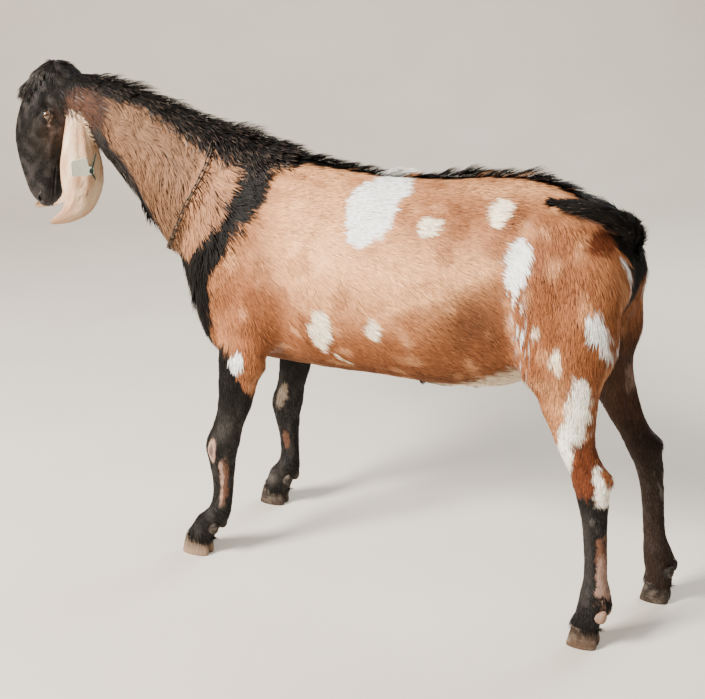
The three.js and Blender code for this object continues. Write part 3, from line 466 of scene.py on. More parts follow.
def leg_rings(leg):
    path, girth = leg_paths[leg], leg_girths[leg.split("_")[0]]
    heights = np.linspace(path[0, 0], 38, 70)
    angle = round_angles(20)
    for height, middle, size in zip(heights, at_height(path, heights), at_height(girth, heights)):
        reach = np.where(np.cos(angle) > 0, size[1], size[2])
        yield np.stack([middle[1] + np.cos(angle) * reach, middle[2] + np.sin(angle) * size[3],
                        height + 0 * angle], 1)


def tail_rings():
    angle = round_angles(12)
    for k, spot in enumerate(tail_dense[:56, :3]):
        way = tail_dense[k + 1, :3] - tail_dense[max(k - 1, 0), :3]
        way /= np.linalg.norm(way)
        side = np.array([0, 1, 0]) - way[1] * way
        side /= np.linalg.norm(side)
        radius = np.interp(k / TAIL_FINE, TAIL_PLACES, TAIL_RADII)
        yield (spot + np.outer(np.cos(angle), side) * radius
               + np.outer(np.sin(angle), np.cross(way, side)) * radius)


def ball_rings(steps, sides, cap):
    """Rings of ways out from a ball's middle, pole to pole, each with its angle from the first pole."""
    angle = round_angles(sides)
    for t in np.linspace(cap, math.pi - cap, steps):
        wide, high = math.sin(t), math.cos(t)
        yield t, np.stack([wide * np.cos(angle), wide * np.sin(angle), high + 0 * angle], 1)


def leaned(places, lean):
    """Places pitched about the axis across the goat."""
    x, y, z = places.T
    return np.stack([x * math.cos(lean) + z * math.sin(lean), y, -x * math.sin(lean) + z * math.cos(lean)], 1)


def shoulder_rings(side):
    roll, lean = math.radians(SHOULDER_ROLL * side), math.radians(SHOULDER_LEAN)
    for _, way in ball_rings(14, 16, 0.12):
        x, y, z = (way * SHOULDER_RADII).T
        y, z = y * math.cos(roll) - z * math.sin(roll), y * math.sin(roll) + z * math.cos(roll)
        yield leaned(np.stack([x, y, z], 1), lean) + np.array(SHOULDER_SPOT) * [1, side, 1]


def placed(name, data):
    """A new object in the scene."""
    piece = bpy.data.objects.new(name, data)
    bpy.context.scene.collection.objects.link(piece)
    return piece


def mesh_object(name, corners, faces, scale=0.001):
    """A piece from corners in millimetres, set where the goat stands in the frame."""
    mesh = bpy.data.meshes.new(name)
    corners = np.asarray(corners, float) * scale + (goat_place if scale == 0.001 else 0)
    mesh.vertices.add(len(corners))
    mesh.vertices.foreach_set("co", corners.astype(np.float32).ravel())
    mesh.loops.add(faces.size)
    mesh.loops.foreach_set("vertex_index", faces.astype(np.int32).ravel())
    mesh.polygons.add(len(faces))
    mesh.polygons.foreach_set("loop_start", np.arange(len(faces), dtype=np.int32) * faces.shape[1])
    mesh.polygons.foreach_set("use_smooth", np.ones(len(faces), bool))
    mesh.update(calc_edges=True)
    return placed(name, mesh)


def mesh_arrays(piece):
    """Corners in the object's own units and triangles of an object after its modifiers."""
    shown = piece.evaluated_get(bpy.context.evaluated_depsgraph_get()).to_mesh()
    shown.calc_loop_triangles()
    corners = np.empty(len(shown.vertices) * 3, np.float32)
    shown.vertices.foreach_get("co", corners)
    triangles = np.empty(len(shown.loop_triangles) * 3, np.int32)
    shown.loop_triangles.foreach_get("vertices", triangles)
    return corners.reshape(-1, 3).astype(float), triangles.reshape(-1, 3)


def unit(vectors):
    return vectors / np.maximum(np.linalg.norm(vectors, axis=-1, keepdims=True), 1e-9)


def corner_normals(corners, triangles):
    a, b, c = [corners[triangles[:, k]] for k in range(3)]
    face = np.cross(b - a, c - a)
    total = np.zeros_like(corners)
    for k in range(3):
        for axis in range(3):
            total[:, axis] += np.bincount(triangles[:, k], face[:, axis], len(corners))
    return unit(total)


def evened(corners, triangles, share, rounds):
    """Corners drawn towards the middle of their neighbours."""
    pairs = np.concatenate([triangles[:, [0, 1]], triangles[:, [1, 2]], triangles[:, [2, 0]]])
    count = np.maximum(np.bincount(pairs[:, 0], minlength=len(corners)), 1)[:, None]
    for _ in range(rounds):
        total = np.stack([np.bincount(pairs[:, 0], corners[pairs[:, 1], axis], len(corners))
                          for axis in range(3)], 1)
        corners = corners + (total / count - corners) * share
    return corners


def refined(corners, triangles, wanted):
    """Splits the wanted triangles in four, and their neighbours where an edge was split."""
    ends = np.sort(triangles[:, [[0, 1], [1, 2], [2, 0]]], axis=2)
    keys, edge = np.unique(ends[..., 0] * len(corners) + ends[..., 1], return_inverse=True)
    edge = edge.reshape(-1, 3)
    split = np.zeros(len(keys), bool)
    split[edge[wanted].ravel()] = True
    while True:
        two = split[edge].sum(1) == 2
        if not two.any():
            break
        split[edge[two].ravel()] = True
    number = len(corners) + np.cumsum(split) - 1
    low, high = keys[split] // len(corners), keys[split] % len(corners)
    corners = np.concatenate([corners, (corners[low] + corners[high]) / 2])
    parts = split[edge].sum(1)
    whole, four, half = triangles[parts == 0], triangles[parts == 3], triangles[parts == 1]
    m = number[edge[parts == 3]]
    fours = [np.stack([four[:, 0], m[:, 0], m[:, 2]], 1), np.stack([m[:, 0], four[:, 1], m[:, 1]], 1),
             np.stack([m[:, 2], m[:, 1], four[:, 2]], 1), m]
    which = split[edge[parts == 1]].argmax(1)
    pick = np.arange(len(half))
    a, b, c = half[pick, which], half[pick, (which + 1) % 3], half[pick, (which + 2) % 3]
    m = number[edge[parts == 1][pick, which]]
    halves = [np.stack([a, m, c], 1), np.stack([m, b, c], 1)]
    return corners, np.concatenate([whole, *fours, *halves])


eye_low, eye_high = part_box("eye_left")
goat_place = (np.array(eye_low) + np.array(eye_high)) / 2 - head_spot(EYE_ALONG, EYE_ABOVE, EYE_OUT) * 0.001

HIDE_GRAIN = 8.3
shells = [ring_shell(rings) for rings in (
    torso_rings(), neck_rings(), head_rings(), tail_rings(), shoulder_rings(1), shoulder_rings(-1),
    *[leg_rings(leg) for leg in leg_paths])]
offsets = np.cumsum([0] + [len(corners) for corners, _ in shells])
rough = mesh_object("rough_hide", np.concatenate([corners for corners, _ in shells]),
                    np.concatenate([faces + offset for (_, faces), offset in zip(shells, offsets)]), 1.0)
remesh = rough.modifiers.new("even", "REMESH")
remesh.mode, remesh.voxel_size = "VOXEL", HIDE_GRAIN
hide_corners, hide_triangles = mesh_arrays(rough)
bpy.data.objects.remove(rough)

hide_corners = pull_to_hide(evened(hide_corners, hide_triangles, 0.5, 2), 4)
hide_corners = pull_to_hide(evened(hide_corners, hide_triangles, 0.4, 2), 2)


def eye_centre(side):
    return head_spot(EYE_ALONG, EYE_ABOVE, side * EYE_OUT)


def head_span(points):
    """How far into the head a point is: below 0 on the neck, above 1 down the face."""
    gauges = part_gauges(points)
    return (np.minimum(gauges[:, TORSO], gauges[:, NECK]) - gauges[:, HEAD]) / 12


for fineness in range(3):
    middles = hide_corners[hide_triangles].mean(1)
    chart = head_chart(middles)
    inside_head = (head_span(middles) > -0.5) & (chart[:, 0] > -30)
    if fineness == 0:
        wanted = inside_head | (middles[:, 2] < 350) | (tail_chart(middles)[1] < 20)
    elif fineness == 1:
        wanted = inside_head
    else:
        eyes = np.minimum(*[np.linalg.norm(middles - eye_centre(side), axis=1) for side in (1, -1)])
        mouth = (np.abs(chart[:, 1] + MOUTH_BELOW) < 8) & (chart[:, 0] > MOUTH_CORNER - 10)
        nostril = np.linalg.norm(folded(chart, 2) - [268, 15, 19], axis=1) < 17
        wanted = (eyes < 25) | mouth | nostril
    settled = len(hide_corners)
    hide_corners, hide_triangles = refined(hide_corners, hide_triangles, wanted)
    hide_corners[settled:] = pull_to_hide(hide_corners[settled:], 2)

# The lids close over each eyeball but for a pointed slit, and fine folds run round them.
LID_THICKNESS = 2.2
SLIT_HALF, SLIT_ABOVE, SLIT_BELOW = 12.0, 7.2, 5.2
FOLD_APART, FOLD_DEPTH = 3.6, 0.5


def eye_axes(side):
    """The way an eye looks, the way of its slit towards the nose, and towards the brow."""
    out = unit(left_way * side + brow_way * 0.32 - face_way * 0.1)
    slit = unit(face_way - out * (face_way @ out))
    return out, slit, np.cross(slit, out) * side


def slit_distance(off, side):
    """How far outside the opening of the lids a point over the eyeball lies."""
    out, slit, brow = eye_axes(side)
    way = unit(off) * EYE_RADIUS
    along, above = way @ slit, way @ brow
    bow = np.maximum(1 - (along / SLIT_HALF) ** 2, 0)
    apart = np.maximum(above - SLIT_ABOVE * bow, -SLIT_BELOW * bow - above)
    ends = np.abs(along) - SLIT_HALF
    return np.where(ends > 0, np.hypot(ends, above), apart), way @ out


for side in (1, -1):
    off = hide_corners - eye_centre(side)
    far = np.linalg.norm(off, axis=1)
    apart, ahead = slit_distance(off, side)
    lid = EYE_RADIUS + LID_THICKNESS - (LID_THICKNESS + 3) * ramp(0.7, -0.7, apart)
    lid += FOLD_DEPTH * np.cos((apart - 1.5) * 2 * np.pi / FOLD_APART) * ramp(1, 3, apart)
    lid += (np.maximum(lid, far) - lid) * ramp(1, 8, apart)
    hold = ramp(16, 5, apart) * (ahead > 0) * ramp(27, 22, far)
    hide_corners = hide_corners + unit(off) * ((lid - far) * hold)[:, None]

# The line of the mouth between swelling lips, the cleft of the upper lip and the comma of each nostril
NOSTRIL_SPOT = np.array([267.0, 12.0, 19.5])
NOSTRIL_LONG, NOSTRIL_WIDE, NOSTRIL_DEPTH = 9.0, 3.4, 8.0
LIP_PARTING, LIP_SWELL, CLEFT_DEPTH = 2.8, 1.0, 1.6
nostril_out = unit(np.array([0.62, 0.35, 0.70]))
nostril_long = unit(np.cross(np.cross(nostril_out, [-0.55, 0.6, 0.45]), nostril_out))
nostril_wide = np.cross(nostril_out, nostril_long)

chart = head_chart(hide_corners)
out = corner_normals(hide_corners, hide_triangles)
on_muzzle = ramp(MOUTH_CORNER - 8, MOUTH_CORNER + 4, chart[:, 0]) * (head_span(hide_corners) > 0)
from_mouth = chart[:, 1] + MOUTH_BELOW
rise = -LIP_PARTING * blob((from_mouth, 0, 1.1)) + LIP_SWELL * blob((np.abs(from_mouth), 3.6, 2.0))
cleft = ramp(258, 270, chart[:, 0]) * ramp(-13, -9, chart[:, 1]) * ramp(12, 6, chart[:, 1])
rise -= CLEFT_DEPTH * cleft * blob((chart[:, 2], 0, 1.5))
hide_corners = hide_corners + out * (rise * on_muzzle)[:, None]
for side in (1, -1):
    off = chart * [1, 1, side] - NOSTRIL_SPOT
    along, across = off @ nostril_long, off @ nostril_wide
    share = np.hypot(along / NOSTRIL_LONG, (across - 0.04 * along ** 2) / NOSTRIL_WIDE)
    hold = (np.linalg.norm(off, axis=1) < 17) * on_muzzle
    depth = NOSTRIL_DEPTH * ramp(1.1, 0.45, share) - 1.5 * blob((share, 1.45, 0.35))
    hide_corners -= np.outer(depth * hold, (nostril_out * [1, 1, side]) @ head_axes)

# The ears: long hanging leaves of skin and gristle, rolled at the root, with the tip drawn forward
# Place forward, sideways and up from the poll, half width, degrees that the half width bends, turn
ear_rows = np.array([
    [-30, 50, -50, 20, 122, 0], [-30, 73, -66, 28, 98, 0], [-31, 90, -96, 34, 72, 0],
    [-31, 98, -138, 43, 58, 0], [-31, 101, -184, 51, 48, 0], [-29, 103, -226, 50, 44, 0],
    [-17, 104, -264, 38, 40, 0], [9, 102, -288, 20, 34, 0], [46, 98, -302, 5, 20, 0]], float)
ear_forward = np.array([math.cos(HEAD_TURN), math.sin(HEAD_TURN), 0.0])
EAR_THICKNESS, EAR_TIP_THICKNESS = 4.0, 1.7
# Folds of the ear: place, share across, reach of both, rise outwards in millimetres
ear_folds = np.array([
    [3.4, -0.15, 1.9, 0.10, 2.6], [3.8, 0.14, 1.6, 0.09, -2.2], [5.6, 0.42, 1.2, 0.10, 1.8],
    [5.2, -0.55, 1.5, 0.12, -1.8], [5.0, 0.02, 0.35, 0.16, -1.2], [5.5, 0.10, 0.22, 0.22, 1.2],
    [6.2, 0.05, 0.30, 0.30, -1.4], [2.0, -0.45, 0.9, 0.16, 2.0]])


def ear_point(side, place, across, raised):
    """Points of an ear's sheet: share across is -1 to 1, and raised is outwards."""
    place, across, raised = [np.atleast_1d(np.asarray(v, float)) for v in (place, across, raised)]
    forward, outward, up, half, bend, turned = row_at(ear_rows, place).T
    bend, swing = np.radians(bend), np.radians(turned)
    flat = half / bend * np.sin(across * bend)
    lift = half / bend * (np.cos(across * bend) - 1) + raised
    for spot, share, tall, wide, rise in ear_folds:
        lift = lift + rise * blob((place, spot, tall), (across, share, wide))
    lift = lift + 0.7 * np.sin(place * 5.1 + across * 4) * across ** 2 * ramp(1.5, 3, place)
    ahead, behind = row_at(ear_rows, place + 0.05), row_at(ear_rows, place - 0.05)
    down = unit(np.stack([ahead[:, 0] - behind[:, 0], ahead[:, 2] - behind[:, 2]], 1))
    out_share = outward + flat * np.sin(swing) + lift * np.cos(swing)
    forward_share = forward - flat * down[:, 1] * np.cos(swing) - lift * np.sin(swing)
    return (HEAD_PLACE + forward_share[:, None] * ear_forward + side * out_share[:, None] * left_way
            + (up + flat * down[:, 0])[:, None] * np.array([0, 0, 1.0]))


def ear_sheet(side, steps=64, lanes=26):
    """A closed sheet whose edges are thin and round."""
    rings = []
    for place in np.linspace(0, 7.97, steps):
        thick = EAR_THICKNESS + (EAR_TIP_THICKNESS - EAR_THICKNESS) * place / 8
        across = np.linspace(-1, 1, lanes)
        half = thick / 2 * np.sqrt(np.maximum(1 - np.abs(across) ** 8, 0.06))
        outer = ear_point(side, 0 * across + place, across, half)
        rings.append(np.concatenate([outer, ear_point(side, 0 * across + place, across, -half)[::-1]]))
    count = 2 * lanes
    faces = bands(steps, count)
    last = (steps - 1) * count
    for s in range(lanes - 1):
        near, ahead, far, beyond = s, s + 1, count - 1 - s, count - 2 - s
        faces += [(ahead, near, far), (ahead, far, beyond)]
        faces += [(near + last, ahead + last, far + last), (ahead + last, beyond + last, far + last)]
    corners = np.concatenate(rings)
    return corners, facing_out(corners, np.array(faces))


ear_grid = np.stack(np.meshgrid(np.linspace(0, 8, 81), np.linspace(-1, 1, 25), indexing="ij"), -1)
ear_grid = ear_grid.reshape(-1, 2)


def ear_chart(q):
    """Which ear is nearest, place and share across on it, and the distance from its middle sheet."""
    found = np.zeros((len(q), 4))
    found[:, 3] = 400
    for side in (1, -1):
        sheet = ear_point(side, ear_grid[:, 0], ear_grid[:, 1], 0 * ear_grid[:, 0])
        close = np.where(((q > sheet.min(0) - 12) & (q < sheet.max(0) + 12)).all(1))[0]
        for part in np.array_split(close, max(1, len(close) // 4000 + 1)):
            apart = ((q[part][:, None, :] - sheet[None]) ** 2).sum(2)
            nearest = apart.argmin(1)
            distance = np.sqrt(apart[np.arange(len(part)), nearest])
            better = distance < found[part, 3]
            found[part[better]] = np.stack([0 * distance + side, *ear_grid[nearest].T, distance], 1)[better]
    return found


hide = mesh_object("hide", hide_corners, hide_triangles)
for side, name in SIDES:
    leaf = mesh_object("leaf_" + name, *ear_sheet(side))
    union = hide.modifiers.new("ear_" + name, "BOOLEAN")
    union.operation, union.solver, union.object = "UNION", "MANIFOLD", leaf
whole_corners, hide_triangles = mesh_arrays(hide)
hide_corners = (whole_corners - goat_place) * 1000
for name in ("hide", "leaf_left", "leaf_right"):
    bpy.data.objects.remove(bpy.data.objects[name])

# The skin runs smoothly from the head on to each ear.
ears = ear_chart(hide_corners)
seam = (np.abs(hide_gauge(hide_corners)) < 5) & (ears[:, 3] < 7) & (ears[:, 1] < 3)
softer = evened(hide_corners, hide_triangles, 0.5, 8)
hide_corners[seam] = softer[seam]


def mottle(q, size, seed):
    """Soft patches without a pattern, about -1 to 1, of one size in millimetres."""
    draw = np.random.default_rng(seed)
    ways = draw.normal(size=(7, 3))
    ways /= np.linalg.norm(ways, axis=1, keepdims=True) * size / draw.uniform(0.7, 1.5, (7, 1))
    return np.sin(q @ ways.T * 2 * np.pi + draw.uniform(0, 6.28, 7)).sum(1) / 3.2


def outline_distance(u, v, outline):
    """Distance outside a closed outline, negative inside it."""
    nearest, inside = np.full(len(u), 1e6), np.zeros(len(u), bool)
    for (u0, v0), (u1, v1) in zip(outline, [*outline[1:], outline[0]]):
        du, dv = u1 - u0, v1 - v0
        t = np.clip(((u - u0) * du + (v - v0) * dv) / (du * du + dv * dv), 0, 1)
        nearest = np.minimum(nearest, np.hypot(u - u0 - t * du, v - v0 - t * dv))
        crosses = (v0 > v) != (v1 > v)
        inside ^= crosses & (u < u0 + (v - v0) * du / (dv if dv else 1e-9))
    return np.where(inside, -nearest, nearest)


def paint(colour):
    """A colour given as it looks on a screen, as the light it returns."""
    share = np.array(colour) / 255
    return np.where(share < 0.04045, share / 12.92, ((share + 0.055) / 1.055) ** 2.4)


# The pale tan also serves as painted light, and the dark tan as painted shade.
TAN, TAN_PALE_AND_SUNLIT, TAN_RED, TAN_DARK_AND_SHADED = [
    paint(c) for c in ((154, 100, 64), (230, 168, 118), (118, 67, 37), (80, 47, 27))]
NECK_TAN, RUFF_TAN = paint((112, 80, 57)), paint((148, 104, 74))
WHITE, CREAM, LEG_WHITE = paint((252, 250, 244)), paint((246, 224, 194)), paint((252, 241, 222))
# The grey over black hair is painted sheen of light, and on the throat it is painted shade.
BLACK, GREY_SHEEN_AND_SHADE, BROWN = paint((17, 14, 12)), paint((40, 36, 34)), paint((92, 46, 24))
CHEEK_GREY, EAR_CREAM, EAR_PINK = paint((92, 72, 60)), paint((246, 216, 180)), paint((196, 146, 110))
CALLUS, LIP_SKIN = paint((164, 132, 116)), paint((44, 38, 36))
# The hock grey is painted sheen on the legs, and also the grey of a callus on the right forearm.
SHANK, SHEEN_AND_CALLUS_GREY, POLL_BROWN = paint((38, 26, 19)), paint((96, 90, 85)), paint((76, 50, 37))

DEGREE = 2.9  # millimetres round the trunk to one degree
# White and cream patches of the left side: colour, then place along and degrees from the spine
left_patches = [
    (WHITE, [(52, 50), (66, 40), (76, 25), (71, 17), (48, 9), (43, 2), (0, -4), (-20, -4), (-30, 6),
             (-44, 18), (-29, 23), (-29, 31), (-33, 38), (-26, 44), (-15, 47), (9, 50), (14, 54), (31, 53)]),
    (CREAM, [(-84, 39), (-92, 34), (-106, 33), (-124, 35), (-133, 40), (-126, 45), (-110, 46), (-92, 44)]),
    (CREAM, [(-212, 26), (-224, 22), (-246, 22), (-258, 28), (-256, 35), (-252, 42), (-241, 43),
             (-228, 40), (-217, 34)]),
    (WHITE, [(-267, 53), (-283, 49), (-298, 53), (-312, 63), (-313, 75), (-304, 86), (-287, 92),
             (-271, 85), (-261, 74), (-261, 62)]),
    (CREAM, [(4, 109), (-6, 101), (-20, 101), (-31, 108), (-22, 115), (-10, 117), (2, 114)]),
    (CREAM, [(137, 118), (124, 104), (104, 98), (84, 104), (78, 114), (92, 126), (116, 136), (132, 128)]),
    (CREAM, [(90, 134), (78, 137), (61, 143), (70, 144), (86, 139)]),
    (CREAM, [(-362, 132), (-368, 127), (-380, 127), (-387, 132), (-380, 136), (-368, 136)]),
    (WHITE, [(-424, 109), (-441, 108), (-450, 118), (-457, 126), (-468, 142), (-452, 129), (-439, 125),
             (-428, 120)])]
# The right side has its own patches.
right_patches = [
    (WHITE, [(60, 60), (96, 44), (90, 26), (58, 18), (20, 24), (-6, 40), (2, 58), (30, 68)]),
    (WHITE, [(2, -6), (-8, 6), (-24, 10), (-38, 5), (-44, -6)]),
    (CREAM, [(-120, 60), (-136, 52), (-160, 54), (-168, 64), (-152, 74), (-130, 70)]),
    (CREAM, [(-236, 84), (-256, 76), (-276, 84), (-272, 104), (-252, 110), (-238, 98)]),
    (CREAM, [(150, 96), (136, 90), (120, 96), (124, 110), (142, 110)]),
    (CREAM, [(-40, 112), (-56, 106), (-70, 114), (-58, 122)]),
    (CREAM, [(-352, 60), (-366, 54), (-384, 60), (-380, 74), (-360, 74)])]
# White streaks beside the black under the tail, in place across and height
buttock_streaks = [[(67, 745), (60, 743), (54, 722), (44, 702), (26, 680), (36, 680), (52, 694), (61, 716)],
                   [(-74, 700), (-66, 730), (-78, 738), (-86, 700), (-84, 660), (-76, 650)]]
# The black stripe down the shoulder and over the breast, in place along and height
shoulder_stripe = [(262, 940), (264, 834), (258, 789), (307, 727), (339, 674), (368, 619), (366, 558),
                   (372, 488), (330, 470), (330, 420), (640, 420), (640, 560), (520, 640), (443, 655),
                   (373, 721), (346, 759), (327, 802), (326, 840), (361, 870), (376, 940)]
# Marks of the left hind leg, in place along and height: white on the gaskin, brown, white on the hock
gaskin_white = [(-405, 545), (-434, 536), (-437, 498), (-434, 455), (-434, 430), (-426, 406), (-416, 385),
                (-412, 350), (-400, 340), (-382, 380), (-380, 420), (-396, 450), (-401, 496)]
gaskin_brown = [(-414, 412), (-440, 420), (-455, 400), (-464, 366), (-464, 300), (-400, 300), (-412, 350),
                (-416, 385)]
hock_white = [(-450, 366), (-459, 366), (-478, 335), (-500, 330), (-500, 294), (-462, 294), (-459, 329)]
# Pale washes are painted light, dark ones painted shade, and red ones the hair's own colour.
# Soft washes on both sides: colour, strength, place along and degrees from the spine, reach of both
trunk_washes = [
    (TAN_PALE_AND_SUNLIT, 0.95, 120, 62, 130, 36), (TAN_PALE_AND_SUNLIT, 0.75, -60, 70, 110, 24),
    (TAN_PALE_AND_SUNLIT, 0.55, -190, 68, 70, 20), (TAN_PALE_AND_SUNLIT, 0.6, -250, 12, 130, 9),
    (TAN_RED, 0.75, 262, 100, 62, 44), (TAN_RED, 0.6, 60, 132, 230, 20), (TAN_RED, 0.85, -350, 84, 84, 44),
    (TAN_DARK_AND_SHADED, 0.85, -215, 118, 62, 26), (TAN_DARK_AND_SHADED, 0.6, 40, 160, 280, 18),
    (TAN_RED, 0.35, -120, 34, 60, 14), (TAN_RED, 0.4, -250, 40, 60, 16)]
EAR_ROOT = np.array([[706, 76, 944]])


def coat_tones(q, gauges):
    """The colour of the coat wherever a hair is rooted, and of the skin under it."""
    x, y, z = q.T
    side = np.where(y > 0, 1, -1)
    _, around = torso_chart(q)
    place, neck_angle = neck_turn(q)
    shares = part_shares(gauges, 10)
    ragged = mottle(q * [0.5, 1, 1], 15, 3) * 5 + mottle(q * [0.4, 1, 1], 6, 4) * 2.5
    tone = np.repeat(TAN[None], len(q), 0)

    def lay(colour, amount):
        nonlocal tone
        tone = tone + (colour - tone) * np.clip(amount, 0, 1)[:, None]

    # Trunk: painted light on the side and top of the back, redder shoulder and thigh, painted shade
    # under flank and belly
    for colour, strength, along, turn, reach_along, reach_turn in trunk_washes:
        lay(colour, strength * blob((x, along, reach_along), (around, turn, reach_turn)))
    lay(TAN_PALE_AND_SUNLIT, 0.4 * ramp(50, 18, around) * ramp(330, 200, x) * ramp(-100, 0, x))
    lay(TAN_RED, 0.62 * ramp(-210, -330, x) * ramp(740, 560, z))
    lay(TAN_RED, 0.55 * ramp(96, 132, around) * ramp(300, 100, x))
    lay(TAN_DARK_AND_SHADED, 0.75 * blob((x, -218, 52), (z, 600, 60)))
    lay(TAN_RED, 0.55 * blob((x, 250, 60), (z, 560, 70)))
    lay(TAN_DARK_AND_SHADED, 0.55 * ramp(140, 172, around) * (x > -330) * (x < 260))
    streak = np.interp(around, [90, 105, 120, 130], [-283, -292, -300, -308])
    lay(WHITE, 0.8 * blob((x, streak, 15)) * ramp(86, 94, around) * ramp(150, 126, around)
        * (side > 0) * ramp(0.0, 0.7, mottle(q * [1, 1, 0.12], 7, 8)))
    # Painted highlight: a pale streak of sunlit hair along the bulge of the barrel towards the hip.
    painted_sheen_line = np.interp(x, [-256, -230, -188, -114, -17], [65, 70, 77, 87, 98])
    lay(TAN_PALE_AND_SUNLIT, 0.6 * blob((around, painted_sheen_line, 5)) * ramp(-275, -230, x) * ramp(20, -60, x) * (side > 0))
    thigh_spot = np.hypot(x + 333, (around - 119) * DEGREE * 0.6) - 8
    lay(CREAM, 0.7 * (side > 0) * ramp(3, -5, thigh_spot + ragged * 0.6))
    lay(TAN_RED, 0.4 * ramp(0.2, 1.0, mottle(q * [0.5, 1, 0.5], 46, 12)))
    lay(TAN_PALE_AND_SUNLIT, 0.3 * ramp(0.3, 1.1, mottle(q * [0.5, 1, 0.5], 38, 13)))
    on_trunk = ramp(0.25, 0.6, shares[:, [TORSO, *LEGS, SHOULDER]].sum(1))
    pale_from = np.interp(x, [-310, -262, -200, -110], [147, 151, 156, 166])
    lay(CREAM, 0.85 * ramp(-4, 6, around - pale_from + ragged * 0.5) * ramp(-60, -120, x) * (x > -330))
    for patches, facing in ((left_patches, side > 0), (right_patches, side < 0)):
        for colour, outline in patches:
            apart = outline_distance(x, around * DEGREE, np.array(outline) * [1, DEGREE])
            lay(colour, ramp(3, -4, apart + ragged * 0.7) * facing * on_trunk)
    # Neck: tan sides, a ruff behind the collar, a dark throat that is partly painted shade under the neck
    on_neck = ramp(0.35, 0.75, shares[:, NECK] + shares[:, HEAD])
    lay(NECK_TAN, on_neck)
    lay(TAN_DARK_AND_SHADED, on_neck * 0.45 * ramp(4.6, 5.6, place))
    lay(POLL_BROWN * 0.5, on_neck * 0.85 * ramp(5.0, 5.7, place + 0.1 * mottle(q, 16, 19)))
    # A black band behind the ears, partly the painted shadow that each ear casts on the neck.
    lay(BLACK, on_neck * 0.75 * blob((place, 5.35, 0.16)) * ramp(34, 46, neck_angle) * (neck_angle < 104))
    lay(RUFF_TAN, on_neck * ramp(2.1, 1.5, place))
    # A dark stripe along the throat, partly dark hair and partly painted shade under the neck.
    throat = np.interp(place, [1.5, 2, 2.5, 3.4, 4.2, 4.8, 5.4, 6.4], [190, 182, 166, 148, 129, 121, 104, 92])
    lay(GREY_SHEEN_AND_SHADE, on_neck * ramp(-5, 6, neck_angle - throat + ragged * 0.8))
    # Black mane, shoulder stripe and line of the back
    crest = np.interp(place, [4.4, 5.3, 6.0, 6.6], [24, 36, 48, 60])
    lay(BLACK, on_neck * ramp(2, -5, (neck_angle - crest) * 1.4 + ragged))
    lay(BLACK, on_neck * ramp(6.45, 6.75, place + ragged * 0.02))
    stripe = outline_distance(x, z, shoulder_stripe)
    lay(BLACK, ramp(3, -5, stripe + ragged) * ramp(-2, 12, z - 400))
    half = np.interp(x, [-352, -335, -318, -296, -262, -154, -30, 116, 188, 262, 330],
                     [15, 14, 12, 11, 9, 8, 9, 12, 18, 34, 60])
    half = half + 3 * ramp(60, 0, x) - 22 * np.exp(-((x + 5) / 33) ** 4)
    lay(BLACK, ramp(3, -4, around * DEGREE - half + ragged * 0.7) * (x > -420) * on_trunk)
    # Rump: black round the tail and down between the thighs, and beside it a brown patch that is
    # the painted shadow the tail casts
    tail_shadow = np.hypot((x + 422) / 1.1, z - 776) - 24
    lay(BROWN * 0.8, ramp(5, -8, tail_shadow + ragged) * (side > 0) * on_trunk)
    behind = ramp(-420, -436, x)
    for outline in buttock_streaks:
        lay(WHITE, ramp(3, -3, outline_distance(y, z, outline) + ragged * 0.5) * behind)
    aside = np.maximum(y, y * -0.6)
    middle_gap = np.hypot(aside, np.maximum(0, np.maximum(z - 790, 560 - z)))
    wide = np.interp(z, [540, 600, 640, 680, 694, 713, 755, 790], [6, 16, 22, 28, 38, 45, 55, 60])
    lay(BLACK, ramp(4, -4, middle_gap - wide + ragged) * behind)
    lay(BLACK, ramp(0.3, 0.7, shares[:, TAIL]))
    lay(BLACK, ramp(6, -6, np.hypot(x + 446, y) - 34 + ragged) * (z > 740))
    lay(BLACK, blob((x, -150, 34), (y, 0, 16)) * (z < 445) * 1.4)
    # Forelegs: black below the elbow with tan at the back, brown callus on the knee
    top = np.interp(x, [230, 262, 275, 290, 302, 312, 370], [360, 380, 402, 432, 470, 486, 492])
    # On the right foreleg the black reaches higher, partly its hair and partly painted shade of the far side.
    top = np.where(side > 0, top, np.interp(x, [240, 280, 320], [430, 462, 492]))
    lay(BLACK, (shares[:, FORE_LEFT] + shares[:, FORE_RIGHT]) * ramp(6, -8, z - top + ragged * 1.4))
    elbow = np.hypot((x - 290) / 17, (z - 463) / 22) - 1
    lay(WHITE, (side > 0) * (y > 130) * ramp(0.12, -0.18, elbow + ragged * 0.03))
    for leg, column in zip(leg_paths, LEGS):
        _, _, _, angle = leg_chart(q, leg)
        own = ramp(0.3, 0.7, shares[:, column])
        if column in (FORE_LEFT, FORE_RIGHT):
